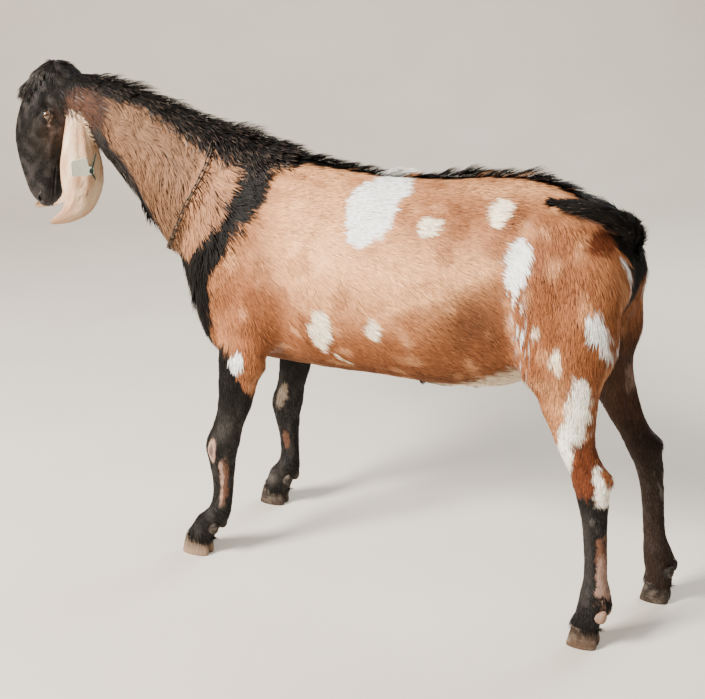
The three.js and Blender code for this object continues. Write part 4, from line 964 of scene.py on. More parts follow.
            # Painted sheen: mottled grey over the black below the forearm, and a paler grey at the knee.
            lay(GREY_SHEEN_AND_SHADE, own * 0.8 * ramp(0.1, 1.0, mottle(q * [1, 1, 0.5], 34, 15)) * ramp(380, 350, z))
            lay(SHEEN_AND_CALLUS_GREY, own * 0.3 * blob((z, 312, 30), (angle, 100, 44)))
            knee = np.hypot((z - 259) / 29, (angle - 68) / 23)
            lay(CALLUS * 1.1, own * ramp(1.1, 0.8, knee))
            lay(LIP_SKIN * 2.2, own * 0.8 * ramp(0.62, 0.4, knee))
            stripe = own * ramp(126, 140, z + ragged) * ramp(244, 226, z + ragged)
            lay(POLL_BROWN * 1.5, stripe * 0.9 * ramp(25, 13, np.abs(angle - 130) + ragged * 1.6))
            lay(CALLUS, stripe * ramp(13, 5, np.abs(angle - 114) + ragged))
            far = own * (side < 0)
            forearm = np.hypot((z - 292) / 36, (angle + 80) / 32)
            lay(SHEEN_AND_CALLUS_GREY * [1.2, 1.0, 0.8], far * ramp(1.1, 0.7, forearm + ragged * 0.04))
            cannon = np.hypot((z - 178) / 27, (angle + 100) / 28)
            lay(POLL_BROWN * 1.5, far * ramp(1.1, 0.7, cannon + ragged * 0.04))
            # Painted sheen: pale grey on the front of the right pastern.
            lay(SHEEN_AND_CALLUS_GREY, far * 0.6 * blob((z, 70, 18), (angle, -60, 40)))
        elif column == HIND_LEFT:
            lay(TAN_PALE_AND_SUNLIT, own * 0.35 * blob((x, -376, 26), (z, 480, 80)))
            lay(LEG_WHITE, own * ramp(5, -6, outline_distance(x, z, gaskin_white) + ragged * 1.1))
            lay(BROWN, own * ramp(4, -5, outline_distance(x, z, gaskin_brown) + ragged))
            lay(BLACK, own * ramp(6, -6, z - 310 + ragged * 1.4))
            lay(LEG_WHITE, own * ramp(4, -4, outline_distance(x, z, hock_white) + ragged * 0.6))
            # Painted sheen: grey on the front of the black cannon, and mottled over the hock.
            lay(GREY_SHEEN_AND_SHADE, own * ramp(90, 40, np.abs(angle - 20)) * ramp(300, 260, z) * (z > 90))
            lay(SHEEN_AND_CALLUS_GREY, own * 0.4 * ramp(0.0, 1.0, mottle(q, 22, 17)) * blob((z, 270, 26)))
            stripe = own * ramp(104, 122, angle + ragged * 2.5) * ramp(100, 116, z + ragged * 2)
            lay(POLL_BROWN * 1.6, stripe * ramp(236, 222, z + ragged * 3))
            lay(CALLUS * 0.72, stripe * 0.9 * ramp(196, 172, z + ragged * 2))
        else:
            # Right hind leg: dark brown from the thigh down, partly its own colour and partly painted shade.
            lay(SHANK * 1.2, own * 0.9 * ramp(640, 520, z + ragged * 3))
            lay(SHANK, own * ramp(430, 340, z + ragged * 2))
            # Painted light: a paler spot where light catches the back of the thigh.
            lit_thigh_spot = np.hypot((x + 458) / 0.8, (z - 476) / 1.7) - 15
            lay(CALLUS * 0.5, own * 0.6 * ramp(4, -5, lit_thigh_spot + ragged))
            # Painted sheen: mottled grey over the hock.
            lay(SHEEN_AND_CALLUS_GREY, own * 0.8 * ramp(0.1, 0.8, mottle(q * [1, 1, 0.7], 18, 18))
                * ramp(110, 140, np.abs(angle)) * np.exp(-((z - 258) / 34) ** 4))
    # Head: black face with grey-brown cheeks, brown behind the jaw and round the root of the ear
    down, above, left = head_chart(q).T
    face = ramp(0.3, 0.7, shares[:, HEAD])
    lay(BLACK, face)
    lay(CHEEK_GREY, face * blob((down, 120, 46), (above, -20, 36)) * (0.8 + 0.3 * mottle(q, 18, 22)))
    lay(BROWN, face * 0.5 * blob((down, 96, 22), (above, -34, 22)))
    # Painted sheen: paler grey flecks of sunlit hair over the black face.
    lay(GREY_SHEEN_AND_SHADE * 1.8, face * 0.75 * ramp(-0.4, 0.9, mottle(q, 30, 21)))
    right_root = head_spot(*(head_chart(EAR_ROOT)[0] * [1, 1, -1]))
    from_root = (q - np.where((left > 0)[:, None], EAR_ROOT, right_root)) * [1, 1, 0.85]
    from_root = np.linalg.norm(from_root, axis=1)
    lay(POLL_BROWN * 0.5, ramp(56, 36, from_root + ragged) * ramp(990, 976, z) * 0.95)
    lay(TAN_RED, ramp(44, 16, from_root + ragged * 2) * ramp(984, 970, z) * 0.12)
    lay(LIP_SKIN, face * ramp(236, 262, down))
    for eye_side in (1, -1):
        off = q - eye_centre(eye_side)
        _, slit, brow = eye_axes(eye_side)
        apart, ahead = slit_distance(off, eye_side)
        by_eye = (ahead > 0) * (np.linalg.norm(off, axis=1) < 24)
        lay(LIP_SKIN, by_eye * ramp(3.4, 2.0, apart))
        tear = ramp(2, -6, off @ brow) * ramp(-5, 3, off @ slit)
        lay(CALLUS, by_eye * 0.9 * tear * blob((apart, 3.4, 1.4)))
    return tone


class Finish:
    """A value in a material's nodes that sums can be written on."""

    def __init__(self, tree, socket):
        self.tree, self.socket = tree, socket

    def node(self, kind, output=0, settings=None, **inputs):
        """Any other node: its settings, then values or links for its sockets, by name or as i and number."""
        made = self.tree.nodes.new(kind)
        for name, value in (settings or {}).items():
            setattr(made, name, value)
        for name, value in inputs.items():
            numbered = name[0] == "i" and name[1:].isdigit()
            socket = made.inputs[int(name[1:]) if numbered else name.replace("_", " ")]
            if isinstance(value, Finish):
                self.tree.links.new(value.socket, socket)
            else:
                socket.default_value = value
        return Finish(self.tree, made.outputs[output])

    def maths(self, operation, first, second):
        return self.node("ShaderNodeMath", settings={"operation": operation}, i0=first, i1=second)

    def __add__(self, other):
        return self.maths("ADD", self, other)

    def __sub__(self, other):
        return self.maths("SUBTRACT", self, other)

    def __rsub__(self, other):
        return self.maths("SUBTRACT", other, self)

    def __mul__(self, other):
        return self.maths("MULTIPLY", self, other)

    def __pow__(self, other):
        return self.maths("POWER", self, other)

    __radd__, __rmul__ = __add__, __mul__

    def clamped(self):
        return self.node("ShaderNodeClamp", Value=self)

    def blended(self, share, low, high, how="MIX"):
        """Two colours, mixed or multiplied by a share."""
        return self.node("ShaderNodeMix", output=2, settings={"data_type": "RGBA", "blend_type": how},
                         i0=share, i6=low, i7=high)

    def tinted(self, low, high):
        """This share between two colours."""
        return self.blended(self, low, high)

    def stored(self, name, output=0):
        """A value that the mesh holds at its corners."""
        return self.node("ShaderNodeAttribute", output=output, settings={"attribute_name": name})

    def bump(self, strength, distance, height):
        return self.node("ShaderNodeBump", Strength=strength, Distance=distance, Height=height)


def finish_named(name, **constants):
    """A new material: its first value to build on, and its surface."""
    material = bpy.data.materials.new(name)
    material.use_nodes = True
    tree = material.node_tree
    surface = tree.nodes["Principled BSDF"]
    for socket, value in constants.items():
        surface.inputs[socket.replace("_", " ")].default_value = value
    return material, Finish(tree, None), surface


def dress(surface, **inputs):
    for socket, value in inputs.items():
        value.tree.links.new(value.socket, surface.inputs[socket.replace("_", " ")])


def own_places(start):
    return start.node("ShaderNodeTexCoord", output=3)


def grain(start, scale, detail=3.0):
    return start.node("ShaderNodeTexNoise", Vector=own_places(start), Scale=scale, Detail=detail,
                      Roughness=0.55)


def store_colours(piece, name, colours):
    layer = piece.data.color_attributes.new(name, "FLOAT_COLOR", "POINT")
    rgba = np.concatenate([np.clip(colours, 0, 1), np.ones((len(colours), 1))], 1)
    layer.data.foreach_set("color", rgba.astype(np.float32).ravel())


hide_gauges = part_gauges(hide_corners)
hide_ears = ear_chart(hide_corners)


def ear_tones(q, ears):
    """Cream skin with pinker folds, browner at the rim and tip, and brown at the root."""
    _, along, across, _ = ears.T
    pink = (0.5 + 0.4 * mottle(q * [1, 1, 0.4], 26, 31)).clip(0, 1)
    tone = EAR_CREAM + (EAR_PINK - EAR_CREAM) * pink[:, None]
    rim = ramp(0.86, 1.0, np.abs(across)) * 0.5 + 0.75 * ramp(6.4, 7.8, along)
    tone = tone + (EAR_PINK * 0.7 - tone) * rim.clip(0, 1)[:, None]
    lanes = np.stack([across * 60, along * 9, 0 * rim], 1)
    streaks = ramp(0.25, 0.9, mottle(lanes, 15, 33)) + 0.6 * ramp(0.4, 1.0, mottle(lanes, 6, 34))
    tone = tone + (EAR_PINK * 0.8 - tone) * (0.36 * streaks).clip(0, 1)[:, None]
    # Painted shade: dark brown lines along the ear's creases.
    for spot, aside in ((5.0, 0.02), (5.35, -0.12), (5.7, 0.04)):
        bent = across - aside - 0.05 * np.sin(along * 9)
        tone = tone + (BROWN - tone) * (0.8 * blob((bent, 0, 0.05), (along, spot, 0.3)))[:, None]
    root = ramp(2.1, 1.2, along + 0.25 * mottle(q, 12, 32))
    return tone + (POLL_BROWN * 0.55 - tone) * root[:, None]


def all_tones(q, gauges, ears):
    tone = coat_tones(q, gauges)
    on_ear = ramp(5.5, 3.5, ears[:, 3]) * ramp(0.8, 1.3, ears[:, 1])
    return tone + (ear_tones(q, ears) - tone) * on_ear[:, None]


# Painted shadow: the hide is darkened as the shade that lies between the hairs.
HAIR_SHADOW_ON_HIDE = 0.8  # the skin is darker than the hair that grows from it
hide = mesh_object("hide", hide_corners, hide_triangles)
store_colours(hide, "hide_tone", all_tones(hide_corners, hide_gauges, hide_ears) * HAIR_SHADOW_ON_HIDE)
hide_finish, start, surface = finish_named("hide_skin", Specular_IOR_Level=0.3)
worn = grain(start, 60.0)
worn_tint = (worn * 0.7 + 0.55).tinted((0.4, 0.4, 0.4, 1), (1, 1, 1, 1))
pores = grain(start, 900.0, 2.0) + grain(start, 220.0)
dress(surface, Base_Color=start.blended(0.5, start.stored("hide_tone"), worn_tint, "MULTIPLY"),
      Roughness=worn * 0.3 + 0.42, Normal=start.bump(0.35, 0.0006, pores))
hide.data.materials.append(hide_finish)
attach(hide, "root")
flesh_nodes = [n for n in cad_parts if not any(w in n for w in ("claw", "eye_", "chain", "tag"))]
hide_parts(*flesh_nodes)

# Collar: a loose chain of oval links of brown old metal round the base of the neck, low at the throat
# and high on the crest, with a ring hanging at the throat.
COLLAR_ROWS = np.array([[0, 1.99], [33, 1.68], [55, 1.54], [83, 1.66], [106, 1.84], [152, 2.4], [180, 2.62]])
COLLAR_CLEARANCE = 8.2
LINK_PITCH, LINK_WIDTH, LINK_WIRE, LINK_ROLL = 16.4, 9.0, 1.5, 45
THROAT_RING, THROAT_RING_WIRE, THROAT_RING_DROP = 8.5, 1.8, 8.0


def neck_point(place, angle, grow):
    """A spot on the neck's flesh, or so far outside it, the angle in radians from the crest."""
    x, y, z, lean, up, down, half, crest, keel = row_at(neck_rows, np.atleast_1d(float(place)))[0]
    rise, side, tilt = math.cos(angle), math.sin(angle), math.radians(lean)
    full = crest if rise > 0 else keel
    rise = abs(rise) ** (2 / full) * (up + grow if rise > 0 else -down - grow)
    side = math.copysign(abs(side) ** (2 / full), side) * (half + grow)
    return np.array([x - rise * math.sin(tilt), y + side, z + rise * math.cos(tilt)])


collar_line = []
for turned in np.linspace(0, 360, 288, endpoint=False):
    spot = place_of(COLLAR_ROWS, np.array([min(turned, 360 - turned)]))
    grow = COLLAR_CLEARANCE + 3 * max(0, math.cos(math.radians(turned))) ** 16
    collar_line.append(neck_point(row_at(COLLAR_ROWS, spot)[0, 1], math.radians(turned), grow))
collar_line = np.array(collar_line)
collar_steps = np.linalg.norm(np.roll(collar_line, -1, 0) - collar_line, axis=1)
collar_run = np.concatenate([[0], np.cumsum(collar_steps)])
link_count = 2 * round(collar_run[-1] / LINK_PITCH / 2)
link_pitch = collar_run[-1] / link_count
closed_line = np.concatenate([collar_line, collar_line[:1]])


def along_collar(run):
    run = np.mod(run, collar_run[-1])
    return np.stack([np.interp(run, collar_run, closed_line[:, axis]) for axis in range(3)], 1)


link_runs = np.arange(link_count) * link_pitch
link_spots = along_collar(link_runs)
link_ways = unit(along_collar(link_runs + 4) - along_collar(link_runs - 4))
link_turns = []
for k, (spot, way) in enumerate(zip(link_spots, link_ways)):
    across = unit(np.cross(way, spot - np.array([450, 0, 780])))
    roll = math.radians(LINK_ROLL * (1 if k % 2 else -1) + 9 * math.sin(k * 2.4))
    flat = across * math.cos(roll) + np.cross(way, across) * math.sin(roll)
    link_turns.append(Matrix(np.stack([way, flat, np.cross(way, flat)], 1).tolist()).to_euler())

link_tree = bpy.data.node_groups.new("links_of_chain", "GeometryNodeTree")
for way_in in ("INPUT", "OUTPUT"):
    link_tree.interface.new_socket("Geometry", in_out=way_in, socket_type="NodeSocketGeometry")
link_sizes = {
    "Link length": link_pitch * 0.001 + 0.0001, "Link width": (LINK_WIDTH - LINK_WIRE) * 0.001,
    "Wire": LINK_WIRE * 0.001, "Ring": THROAT_RING * 0.001, "Ring wire": THROAT_RING_WIRE * 0.001}
for name in link_sizes:
    link_tree.interface.new_socket(name, in_out="INPUT", socket_type="NodeSocketFloat")
link_tree.interface.new_socket("Ring place", in_out="INPUT", socket_type="NodeSocketVector")
entry = link_tree.nodes.new("NodeGroupInput")
inputs = {socket.name: Finish(link_tree, socket) for socket in entry.outputs if socket.name}
form = Finish(link_tree, None)
long_size = inputs["Link length"] + inputs["Wire"] * 2.0
outline = form.node("GeometryNodeCurvePrimitiveQuadrilateral", settings={"mode": "RECTANGLE"},
                    i0=long_size, i1=inputs["Link width"])
rounded = form.node("GeometryNodeFilletCurve", settings={"mode": "POLY"}, Curve=outline,
                    Radius=inputs["Link width"] * 0.499, Count=7)
wire = form.node("GeometryNodeCurvePrimitiveCircle", Radius=inputs["Wire"], Resolution=10)
link = form.node("GeometryNodeCurveToMesh", Curve=rounded, Profile_Curve=wire)
spot_turn = form.node("GeometryNodeInputNamedAttribute", settings={"data_type": "FLOAT_VECTOR"}, Name="turn")
links = form.node("GeometryNodeInstanceOnPoints", Points=inputs["Geometry"], Instance=link,
                  Rotation=spot_turn)
hoop_line = form.node("GeometryNodeCurvePrimitiveCircle", Radius=inputs["Ring"], Resolution=40)
hoop_wire = form.node("GeometryNodeCurvePrimitiveCircle", Radius=inputs["Ring wire"], Resolution=12)
hoop = form.node("GeometryNodeCurveToMesh", Curve=hoop_line, Profile_Curve=hoop_wire)
hung = form.node("GeometryNodeTransform", Geometry=hoop, Translation=inputs["Ring place"],
                 Rotation=(0.0, math.pi / 2, 0.12))
joined = link_tree.nodes.new("GeometryNodeJoinGeometry")
for part in (links, hung):
    link_tree.links.new(part.socket, joined.inputs[0])
real = form.node("GeometryNodeRealizeInstances", Geometry=Finish(link_tree, joined.outputs[0]))

chain_finish, start, surface = finish_named("chain_metal", Metallic=1.0)
age = grain(start, 500.0, 4.0)
spots = grain(start, 1600.0, 2.0)
rust = (age * 2.4 - 0.7).clamped().tinted((0.020, 0.013, 0.009, 1), (0.13, 0.10, 0.078, 1))
dress(surface, Base_Color=rust, Roughness=(age * -0.5 + 0.75).clamped(),
      Normal=start.bump(0.5, 0.0003, spots + age))
smooth = form.node("GeometryNodeSetShadeSmooth", i0=real, i2=True)
finished = form.node("GeometryNodeSetMaterial", Geometry=smooth, Material=chain_finish)
leave = link_tree.nodes.new("NodeGroupOutput")
link_tree.links.new(finished.socket, leave.inputs[0])

places = bpy.data.meshes.new("link_places")
places.from_pydata([tuple(spot) for spot in link_spots * 0.001 + goat_place], [], [])
turned = places.attributes.new("turn", "FLOAT_VECTOR", "POINT")
turned.data.foreach_set("vector", np.array([tuple(turn) for turn in link_turns], np.float32).ravel())
holder = placed("link_places", places)
chain_maker = holder.modifiers.new("links", "NODES")
chain_maker.node_group = link_tree
for item in link_tree.interface.items_tree:
    if item.name in link_sizes:
        chain_maker[item.identifier] = link_sizes[item.name]
    elif item.name == "Ring place":
        lowest = collar_line[len(collar_line) // 2] - [0, 0, THROAT_RING_DROP]
        chain_maker[item.identifier] = tuple(lowest * 0.001 + goat_place)
chain_mesh = bpy.data.meshes.new_from_object(holder.evaluated_get(bpy.context.evaluated_depsgraph_get()))
bpy.data.objects.remove(holder)
chain = placed("chain", chain_mesh)
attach(chain, "root")
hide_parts("chain_collar")

# Coat: the hair of the whole goat as tufts, here those of the trunk. Each is a thin closed blade that stands
# for a few locks, rooted in the hide, bent along the lie of the coat and coloured by the skin's own marks.
HAIR_ROUND = (0.34, 0.70)  # shares of its length at which a blade has corners
HAIR_FLATNESS = 0.2
# A tuft's paler tip is partly paler hair ends and partly painted light; its darker root is painted shade.
TIP_TONE = 1.12  # how much paler a tuft is at its tip
HAIR_ROUNDNESS = 0.5  # how far the light on a tuft turns from the skin's at its edges
TUFT_PATCH = 0.003
SHOWN_SHARE = 0.55  # how far along a tuft the colour of the coat at its own place shows
# Grey tips: partly grey hair and partly painted sheen of light on black hair.
SILVER_AND_SHEEN = paint((128, 122, 118))
GRAVITY = np.array([0, 0, -1.0])
TAILWARD = np.array([-1.0, 0, 0])
random_hair = np.random.default_rng(29)

triangle_middles = hide_corners[hide_triangles].mean(1)
hide_normals = corner_normals(hide_corners, hide_triangles)
edge_a = hide_corners[hide_triangles[:, 1]] - hide_corners[hide_triangles[:, 0]]
edge_b = hide_corners[hide_triangles[:, 2]] - hide_corners[hide_triangles[:, 0]]
triangle_areas = np.linalg.norm(np.cross(edge_a, edge_b), axis=1) / 2
owners = hide_gauges[hide_triangles].mean(1).argmin(1)
triangle_ears = hide_ears[hide_triangles].mean(1)
on_ear = (triangle_ears[:, 3] < 4.5) & (triangle_ears[:, 1] > 1.1)


def roots_on(chosen, count):
    """Spots spread evenly over the chosen triangles, with the skin's own direction there."""
    chosen = np.where(chosen)[0]
    total = np.cumsum(triangle_areas[chosen])
    wanted = (np.arange(count) + random_hair.random(count)) / count * total[-1]
    triangle = hide_triangles[chosen[np.minimum(np.searchsorted(total, wanted), len(chosen) - 1)]]
    u, v = random_hair.random(count), random_hair.random(count)
    u, v = np.where(u + v > 1, 1 - u, u), np.where(u + v > 1, 1 - v, v)
    share = np.stack([1 - u - v, u, v], 1)[:, :, None]
    return (hide_corners[triangle] * share).sum(1), unit((hide_normals[triangle] * share).sum(1))


def swirled(way, out, turn):
    """A way turned about the skin's own direction, by an angle of its own at each spot."""
    return way * np.cos(turn)[:, None] + np.cross(out, way) * np.sin(turn)[:, None]


def lie_of_coat(q, out, gauges):
    """The way the hair lies: back along the trunk, down the sides, legs and face."""
    shares = part_shares(gauges, 16)
    _, around = torso_chart(q)
    place, neck_angle = neck_turn(q)
    ahead, behind = row_at(neck_rows, place + 0.1)[:, :3], row_at(neck_rows, place - 0.1)[:, :3]
    _, above, left = head_chart(q).T

    def column(values):
        return np.asarray(values)[:, None]

    fall = 0.5 * ramp(20, 80, around) * ramp(172, 140, around)
    fall += 1.3 * ramp(-230, -360, q[:, 0]) * ramp(18, 44, around)
    fall += 1.4 * ramp(330, 420, q[:, 0])
    way = column(shares[:, TORSO]) * unit(TAILWARD + column(fall) * GRAVITY)
    neck_fall = 0.15 + 0.75 * ramp(20, 80, neck_angle) * ramp(4.6, 2.2, place)
    way += column(shares[:, NECK]) * unit(unit(behind - ahead) + column(neck_fall) * GRAVITY)
    cheek = ramp(14, 40, np.abs(left)) * ramp(20, -20, above)
    way += column(shares[:, HEAD]) * unit(face_way - column(0.7 * cheek) * brow_way)
    way += column(shares[:, FORE_LEFT:SHOULDER].sum(1)) * (GRAVITY + 0.12 * TAILWARD)
    way += column(shares[:, SHOULDER]) * unit(0.7 * TAILWARD + 0.9 * GRAVITY)
    way += column(shares[:, SHEATH]) * TAILWARD
    spot, _ = tail_chart(q)
    tail_way = row_at(tail_rows, spot + 0.2)[:, :3] - row_at(tail_rows, spot - 0.2)[:, :3]
    way += column(shares[:, TAIL]) * unit(tail_way)
    way = unit(way - out * column((way * out).sum(1)))
    return swirled(way, out, 0.14 * mottle(q, 80, 41) + 0.08 * mottle(q, 22, 42))


def tufts(name, roots, out, lie, length, width, lift, tone, unwrap, droop=0.0, settle=0.6, sway=0.12, rings=2,
          flatness=HAIR_FLATNESS, tip_tone=TIP_TONE, root_tone=0.66, spread=0.12):
    """One piece of coat, with its colours and the place of each tuft on the unwrapped hide."""
    count = len(roots)
    length = length * (1 + 0.35 * (random_hair.random(count) - 0.5))
    width = width * (1 + 0.4 * (random_hair.random(count) - 0.5))
    side = np.cross(out, lie)
    bend = random_hair.normal(0, sway, count)[:, None]
    turns = random_hair.normal(0, sway * 0.6, count)[:, None]
    lie = unit(lie + side * turns)
    shares = [0.0, *(HAIR_ROUND if rings == 2 else (0.45,)), 1.0]
    spot = roots - out * (0.2 + 0.02 * length[:, None])
    spots, before = [spot], 0.0
    for share in shares[1:]:
        t = (share + before) / 2
        angle = (lift * (1 - settle * t))[:, None]
        way = unit(out * np.sin(angle) + lie * np.cos(angle) + side * bend * t + GRAVITY * droop * t)
        spot = spot + way * (length * (share - before))[:, None]
        spots.append(spot)
        before = share
    # Each tuft is painted darker at its root, as the shade deep in the coat.
    corners, tones, places, facing = [spots[0]], [tone * root_tone], [(0.0, 0.5)], [out]
    half = width[:, None] / 2
    for k in range(1, len(shares) - 1):
        wide = half * (1.0 if k == 1 else 0.72)
        corners += [spots[k] - side * wide, spots[k] + side * wide, spots[k] + out * wide * 2 * flatness]
        # Painted shade and highlight: the blade's edges a little darker and its ridge a little lighter.
        tones += [tone * 0.94, tone * 0.94, tone * 1.04]
        places += [(shares[k], 0.0), (shares[k], 1.0), (shares[k], 0.5)]
        facing += [out - side * HAIR_ROUNDNESS, out + side * HAIR_ROUNDNESS, out]
    corners.append(spots[-1])
    tones.append(tone * tip_tone)
    places.append((1.0, 0.5))
    facing.append(out + lie * HAIR_ROUNDNESS * 0.5)
    per = len(corners)
    faces = [(0, 2, 3), (0, 3, 1), (0, 1, 2)]
    if rings == 2:
        faces += [(1, 3, 6), (1, 6, 4), (3, 2, 5), (3, 5, 6), (2, 1, 4), (2, 4, 5)]
    last = per - 4
    faces += [(last, last + 2, per - 1), (last + 2, last + 1, per - 1), (last + 1, last, per - 1)]
    faces = np.array(faces)
    corners, tones = np.stack(corners, 1), np.stack(tones, 1)
    faces = facing_out(corners[0], np.array(faces))
    tones *= (1 + random_hair.normal(0, spread, count)).clip(0.5, 1.6)[:, None, None]
    all_faces = (faces[None] + (np.arange(count) * per)[:, None, None]).reshape(-1, 3)
    piece = mesh_object(name, corners.reshape(-1, 3), all_faces)
    store_colours(piece, "hair_tone", tones.reshape(-1, 3))
    piece.data.normals_split_custom_set_from_vertices(unit(np.stack(facing, 1).reshape(-1, 3)).tolist())
    patch = (np.array(places)[None] - 0.5) * TUFT_PATCH + unwrap[:, None, :]
    layer = piece.data.uv_layers.new(name="OFBake")
    layer.data.foreach_set("uv", patch.reshape(-1, 2)[all_faces.ravel()].astype(np.float32).ravel())
    piece.data.materials.append(hair_finish)
    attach(piece, "root")
    return piece

hair_finish, start, surface = finish_named("coat_hair", Specular_IOR_Level=0.12)
streak = grain(start, 330.0, 2.0)
streak_tint = (streak * 1.6 - 0.3).clamped().tinted((0.62, 0.6, 0.58, 1), (1, 1, 1, 1))
dress(surface, Base_Color=start.blended(0.6, start.stored("hair_tone"), streak_tint, "MULTIPLY"),
      Roughness=streak * 0.25 + 0.5)


def trunk_unwrap(q):
    _, around = torso_chart(q)
    return np.stack([(q[:, 0] + 600) / 1100, 0.5 + np.sign(q[:, 1]) * around / 370], 1)


def neck_unwrap(q):
    place, _, rise, across, _ = neck_chart(q)
    return np.stack([0.02 + place / 8.4, 0.5 + np.degrees(np.arctan2(across, rise)) / 370], 1)


def head_unwrap(q):
    down, above, left = head_chart(q).T
    return np.stack([(down + 60) / 370, 0.5 + np.degrees(np.arctan2(left, above)) / 370], 1)


def legs_unwrap(q):
    """Four panels side by side, one a leg."""
    panel = np.where(q[:, 0] > 0, 0, 2) + np.where(q[:, 1] > 0, 0, 1)
    angle = np.zeros(len(q))
    for k, leg in enumerate(leg_paths):
        angle[panel == k] = leg_chart(q[panel == k], leg)[3]
    return np.stack([(q[:, 2] - 20) / 560, (panel + 0.5 + angle / 375) / 4], 1)


def coat_of(name, chosen, count, unwrap, length, width, lift, lie_way=lie_of_coat, grey=0.0, **shape):
    """A piece of ordinary coat over the chosen part of the hide. Sizes may vary with place."""
    roots, out = roots_on(chosen, count)
    lie = lie_way(roots, out, part_gauges(roots))
    sizes = [v(roots) if callable(v) else np.full(count, float(v)) for v in (length, width, lift)]
    shown = roots + lie * sizes[0][:, None] * SHOWN_SHARE
    tone = all_tones(shown, part_gauges(shown), ear_chart(shown))
    greyed = (random_hair.random(count) < grey)[:, None]
    shape.setdefault("tip_tone", np.where(greyed, SILVER_AND_SHEEN / np.maximum(tone, 0.01), TIP_TONE))
    return tufts(name, roots, out, lie, *sizes, tone, unwrap(roots), **shape)


def trunk_length(q):
    x, _, z = q.T
    _, around = torso_chart(q)
    length = 25 - 4 * ramp(130, 170, around) + 10 * ramp(330, 420, x)
    length += 8 * ramp(-400, -450, x) - 8 * ramp(520, 420, z) * (np.abs(x + 80) > 250)
    return length + 5 * ramp(30, 8, around)


def trunk_lift(q):
    return 0.14 + 0.12 * ramp(330, 420, q[:, 0]) + 0.025 * mottle(q, 40, 51)


LEG_TOP = 430.0
TRUNK_TUFTS = 20000
middle_x, middle_y, middle_z = triangle_middles.T
on_legs = np.isin(owners, LEGS) & (middle_z < LEG_TOP)
trunk = np.isin(owners, (TORSO, *LEGS, SHOULDER, SHEATH)) & ~on_legs & ~on_ear
order = np.argsort(middle_x)
for side, side_name in SIDES:
    own = trunk & (middle_y * side > 0)
    spread_area = np.cumsum(np.where(own, triangle_areas, 0)[order]) / triangle_areas[own].sum()
    band = np.empty(len(order), int)
    band[order] = np.minimum((spread_area * 3).astype(int), 2)
    for k, band_name in enumerate(("rump", "barrel", "chest")):
        piece = coat_of(f"coat_{band_name}_{side_name}", own & (band == k), TRUNK_TUFTS, trunk_unwrap,
                        length=trunk_length, width=2.2, lift=trunk_lift, rings=1, root_tone=0.6,
                        tip_tone=TIP_TONE, spread=0.22, sway=0.09)

# Ridge: longer black hair along the spine from withers to croup. It grows from the hide there, half upright,
# and leans towards the tail.
ridge = trunk & (np.abs(middle_y) < 8) & (middle_z > 740) & (middle_x < 330)
coat_ridge = coat_of("coat_ridge", ridge, 3200, trunk_unwrap,
                     length=lambda q: 40 + 8 * mottle(q, 60, 61) + 14 * ramp(200, 300, q[:, 0]), width=2.4,
                     lift=lambda q: 0.62 + 0.24 * mottle(q, 34, 62), sway=0.25, settle=0.7)

# Neck: long waved hair that fans back from the jaw, with a ruff behind the collar. It grows from the hide
# and is pressed flat where the chain lies on it.
RUFF_PLACE, RUFF_TURN = 2.55, 76


def collar_room(q):
    """0 close to the collar, where the hair is pressed flat, and 1 away from it."""
    apart = np.full(len(q), 1e3)
    for spot in collar_line[::6]:
        apart = np.minimum(apart, np.linalg.norm(q - spot, axis=1))
    return ramp(9, 30, apart)


def neck_length(q):
    place, angle = neck_turn(q)
    length = np.interp(place, [0.6, 1.5, 2.1, 4.0, 5.4, 6.4, 7.4], [40, 56, 44, 46, 38, 22, 14])
    length += 12 * ramp(140, 175, angle) * ramp(5.5, 4.5, place)
    return length * (0.72 + 0.28 * collar_room(q)) * (1 + 0.12 * mottle(q, 45, 71))


def neck_lift(q):
    place, _ = neck_turn(q)
    lift = 0.24 + 0.20 * ramp(2.1, 1.7, place) * ramp(0.5, 1.0, place) + 0.10 * mottle(q, 28, 72)
    return lift * (0.05 + 0.95 * collar_room(q))


def neck_lie(q, out, gauges):
    """The neck's hair waves, and the ruff fans out from the chain."""
    way = lie_of_coat(q, out, gauges)
    place, _ = neck_turn(q)
    for side in (1, -1):
        fan = unit(q - neck_point(RUFF_PLACE, math.radians(RUFF_TURN * side), 0))
        way = way + fan * (0.9 * ramp(2.3, 1.6, place) * (q[:, 1] * side > 0))[:, None]
    way = unit(way - out * (way * out).sum(1)[:, None])
    return swirled(way, out, 0.34 * mottle(q, 95, 73) + 0.22 * mottle(q, 26, 74))


on_neck = (owners == NECK) & ~on_ear
for side, side_name in SIDES:
    piece = coat_of("coat_neck_" + side_name, on_neck & (middle_y * side > 0), 9500, neck_unwrap,
                    length=neck_length, width=3.0, lift=neck_lift, lie_way=neck_lie, droop=0.10, sway=0.16,
                    spread=0.2, root_tone=0.42)

# Mane: a thick crest of black hair with grey tips, partly grey hair and partly painted sheen, from poll
# to withers. It grows from the top of the neck, half upright, and droops to both sides.
mane_place, mane_angle = neck_turn(triangle_middles)
mane = on_neck & (mane_angle < 24) & (mane_place > 0.2)
mane |= trunk & (np.abs(middle_y) < 42) & (middle_x > 255) & (middle_z > 800)


def mane_length(q):
    place, angle = neck_turn(q)
    tall = np.interp(place, [0.3, 1.6, 3.5, 5.5, 6.8, 7.4], [54, 66, 62, 50, 40, 26])
    return tall * (1 - 0.4 * ramp(6, 26, angle)) * (1 + 0.16 * mottle(q, 30, 81))


def mane_lift(q):
    _, angle = neck_turn(q)
    return 0.34 + 0.52 * blob((angle, 0, 13)) + 0.14 * mottle(q, 24, 82)


coat_mane = coat_of("coat_mane", mane, 6200, neck_unwrap, length=mane_length, width=3.0, lift=mane_lift,
                    droop=0.30, settle=0.5, sway=0.22, spread=0.3, grey=0.34)

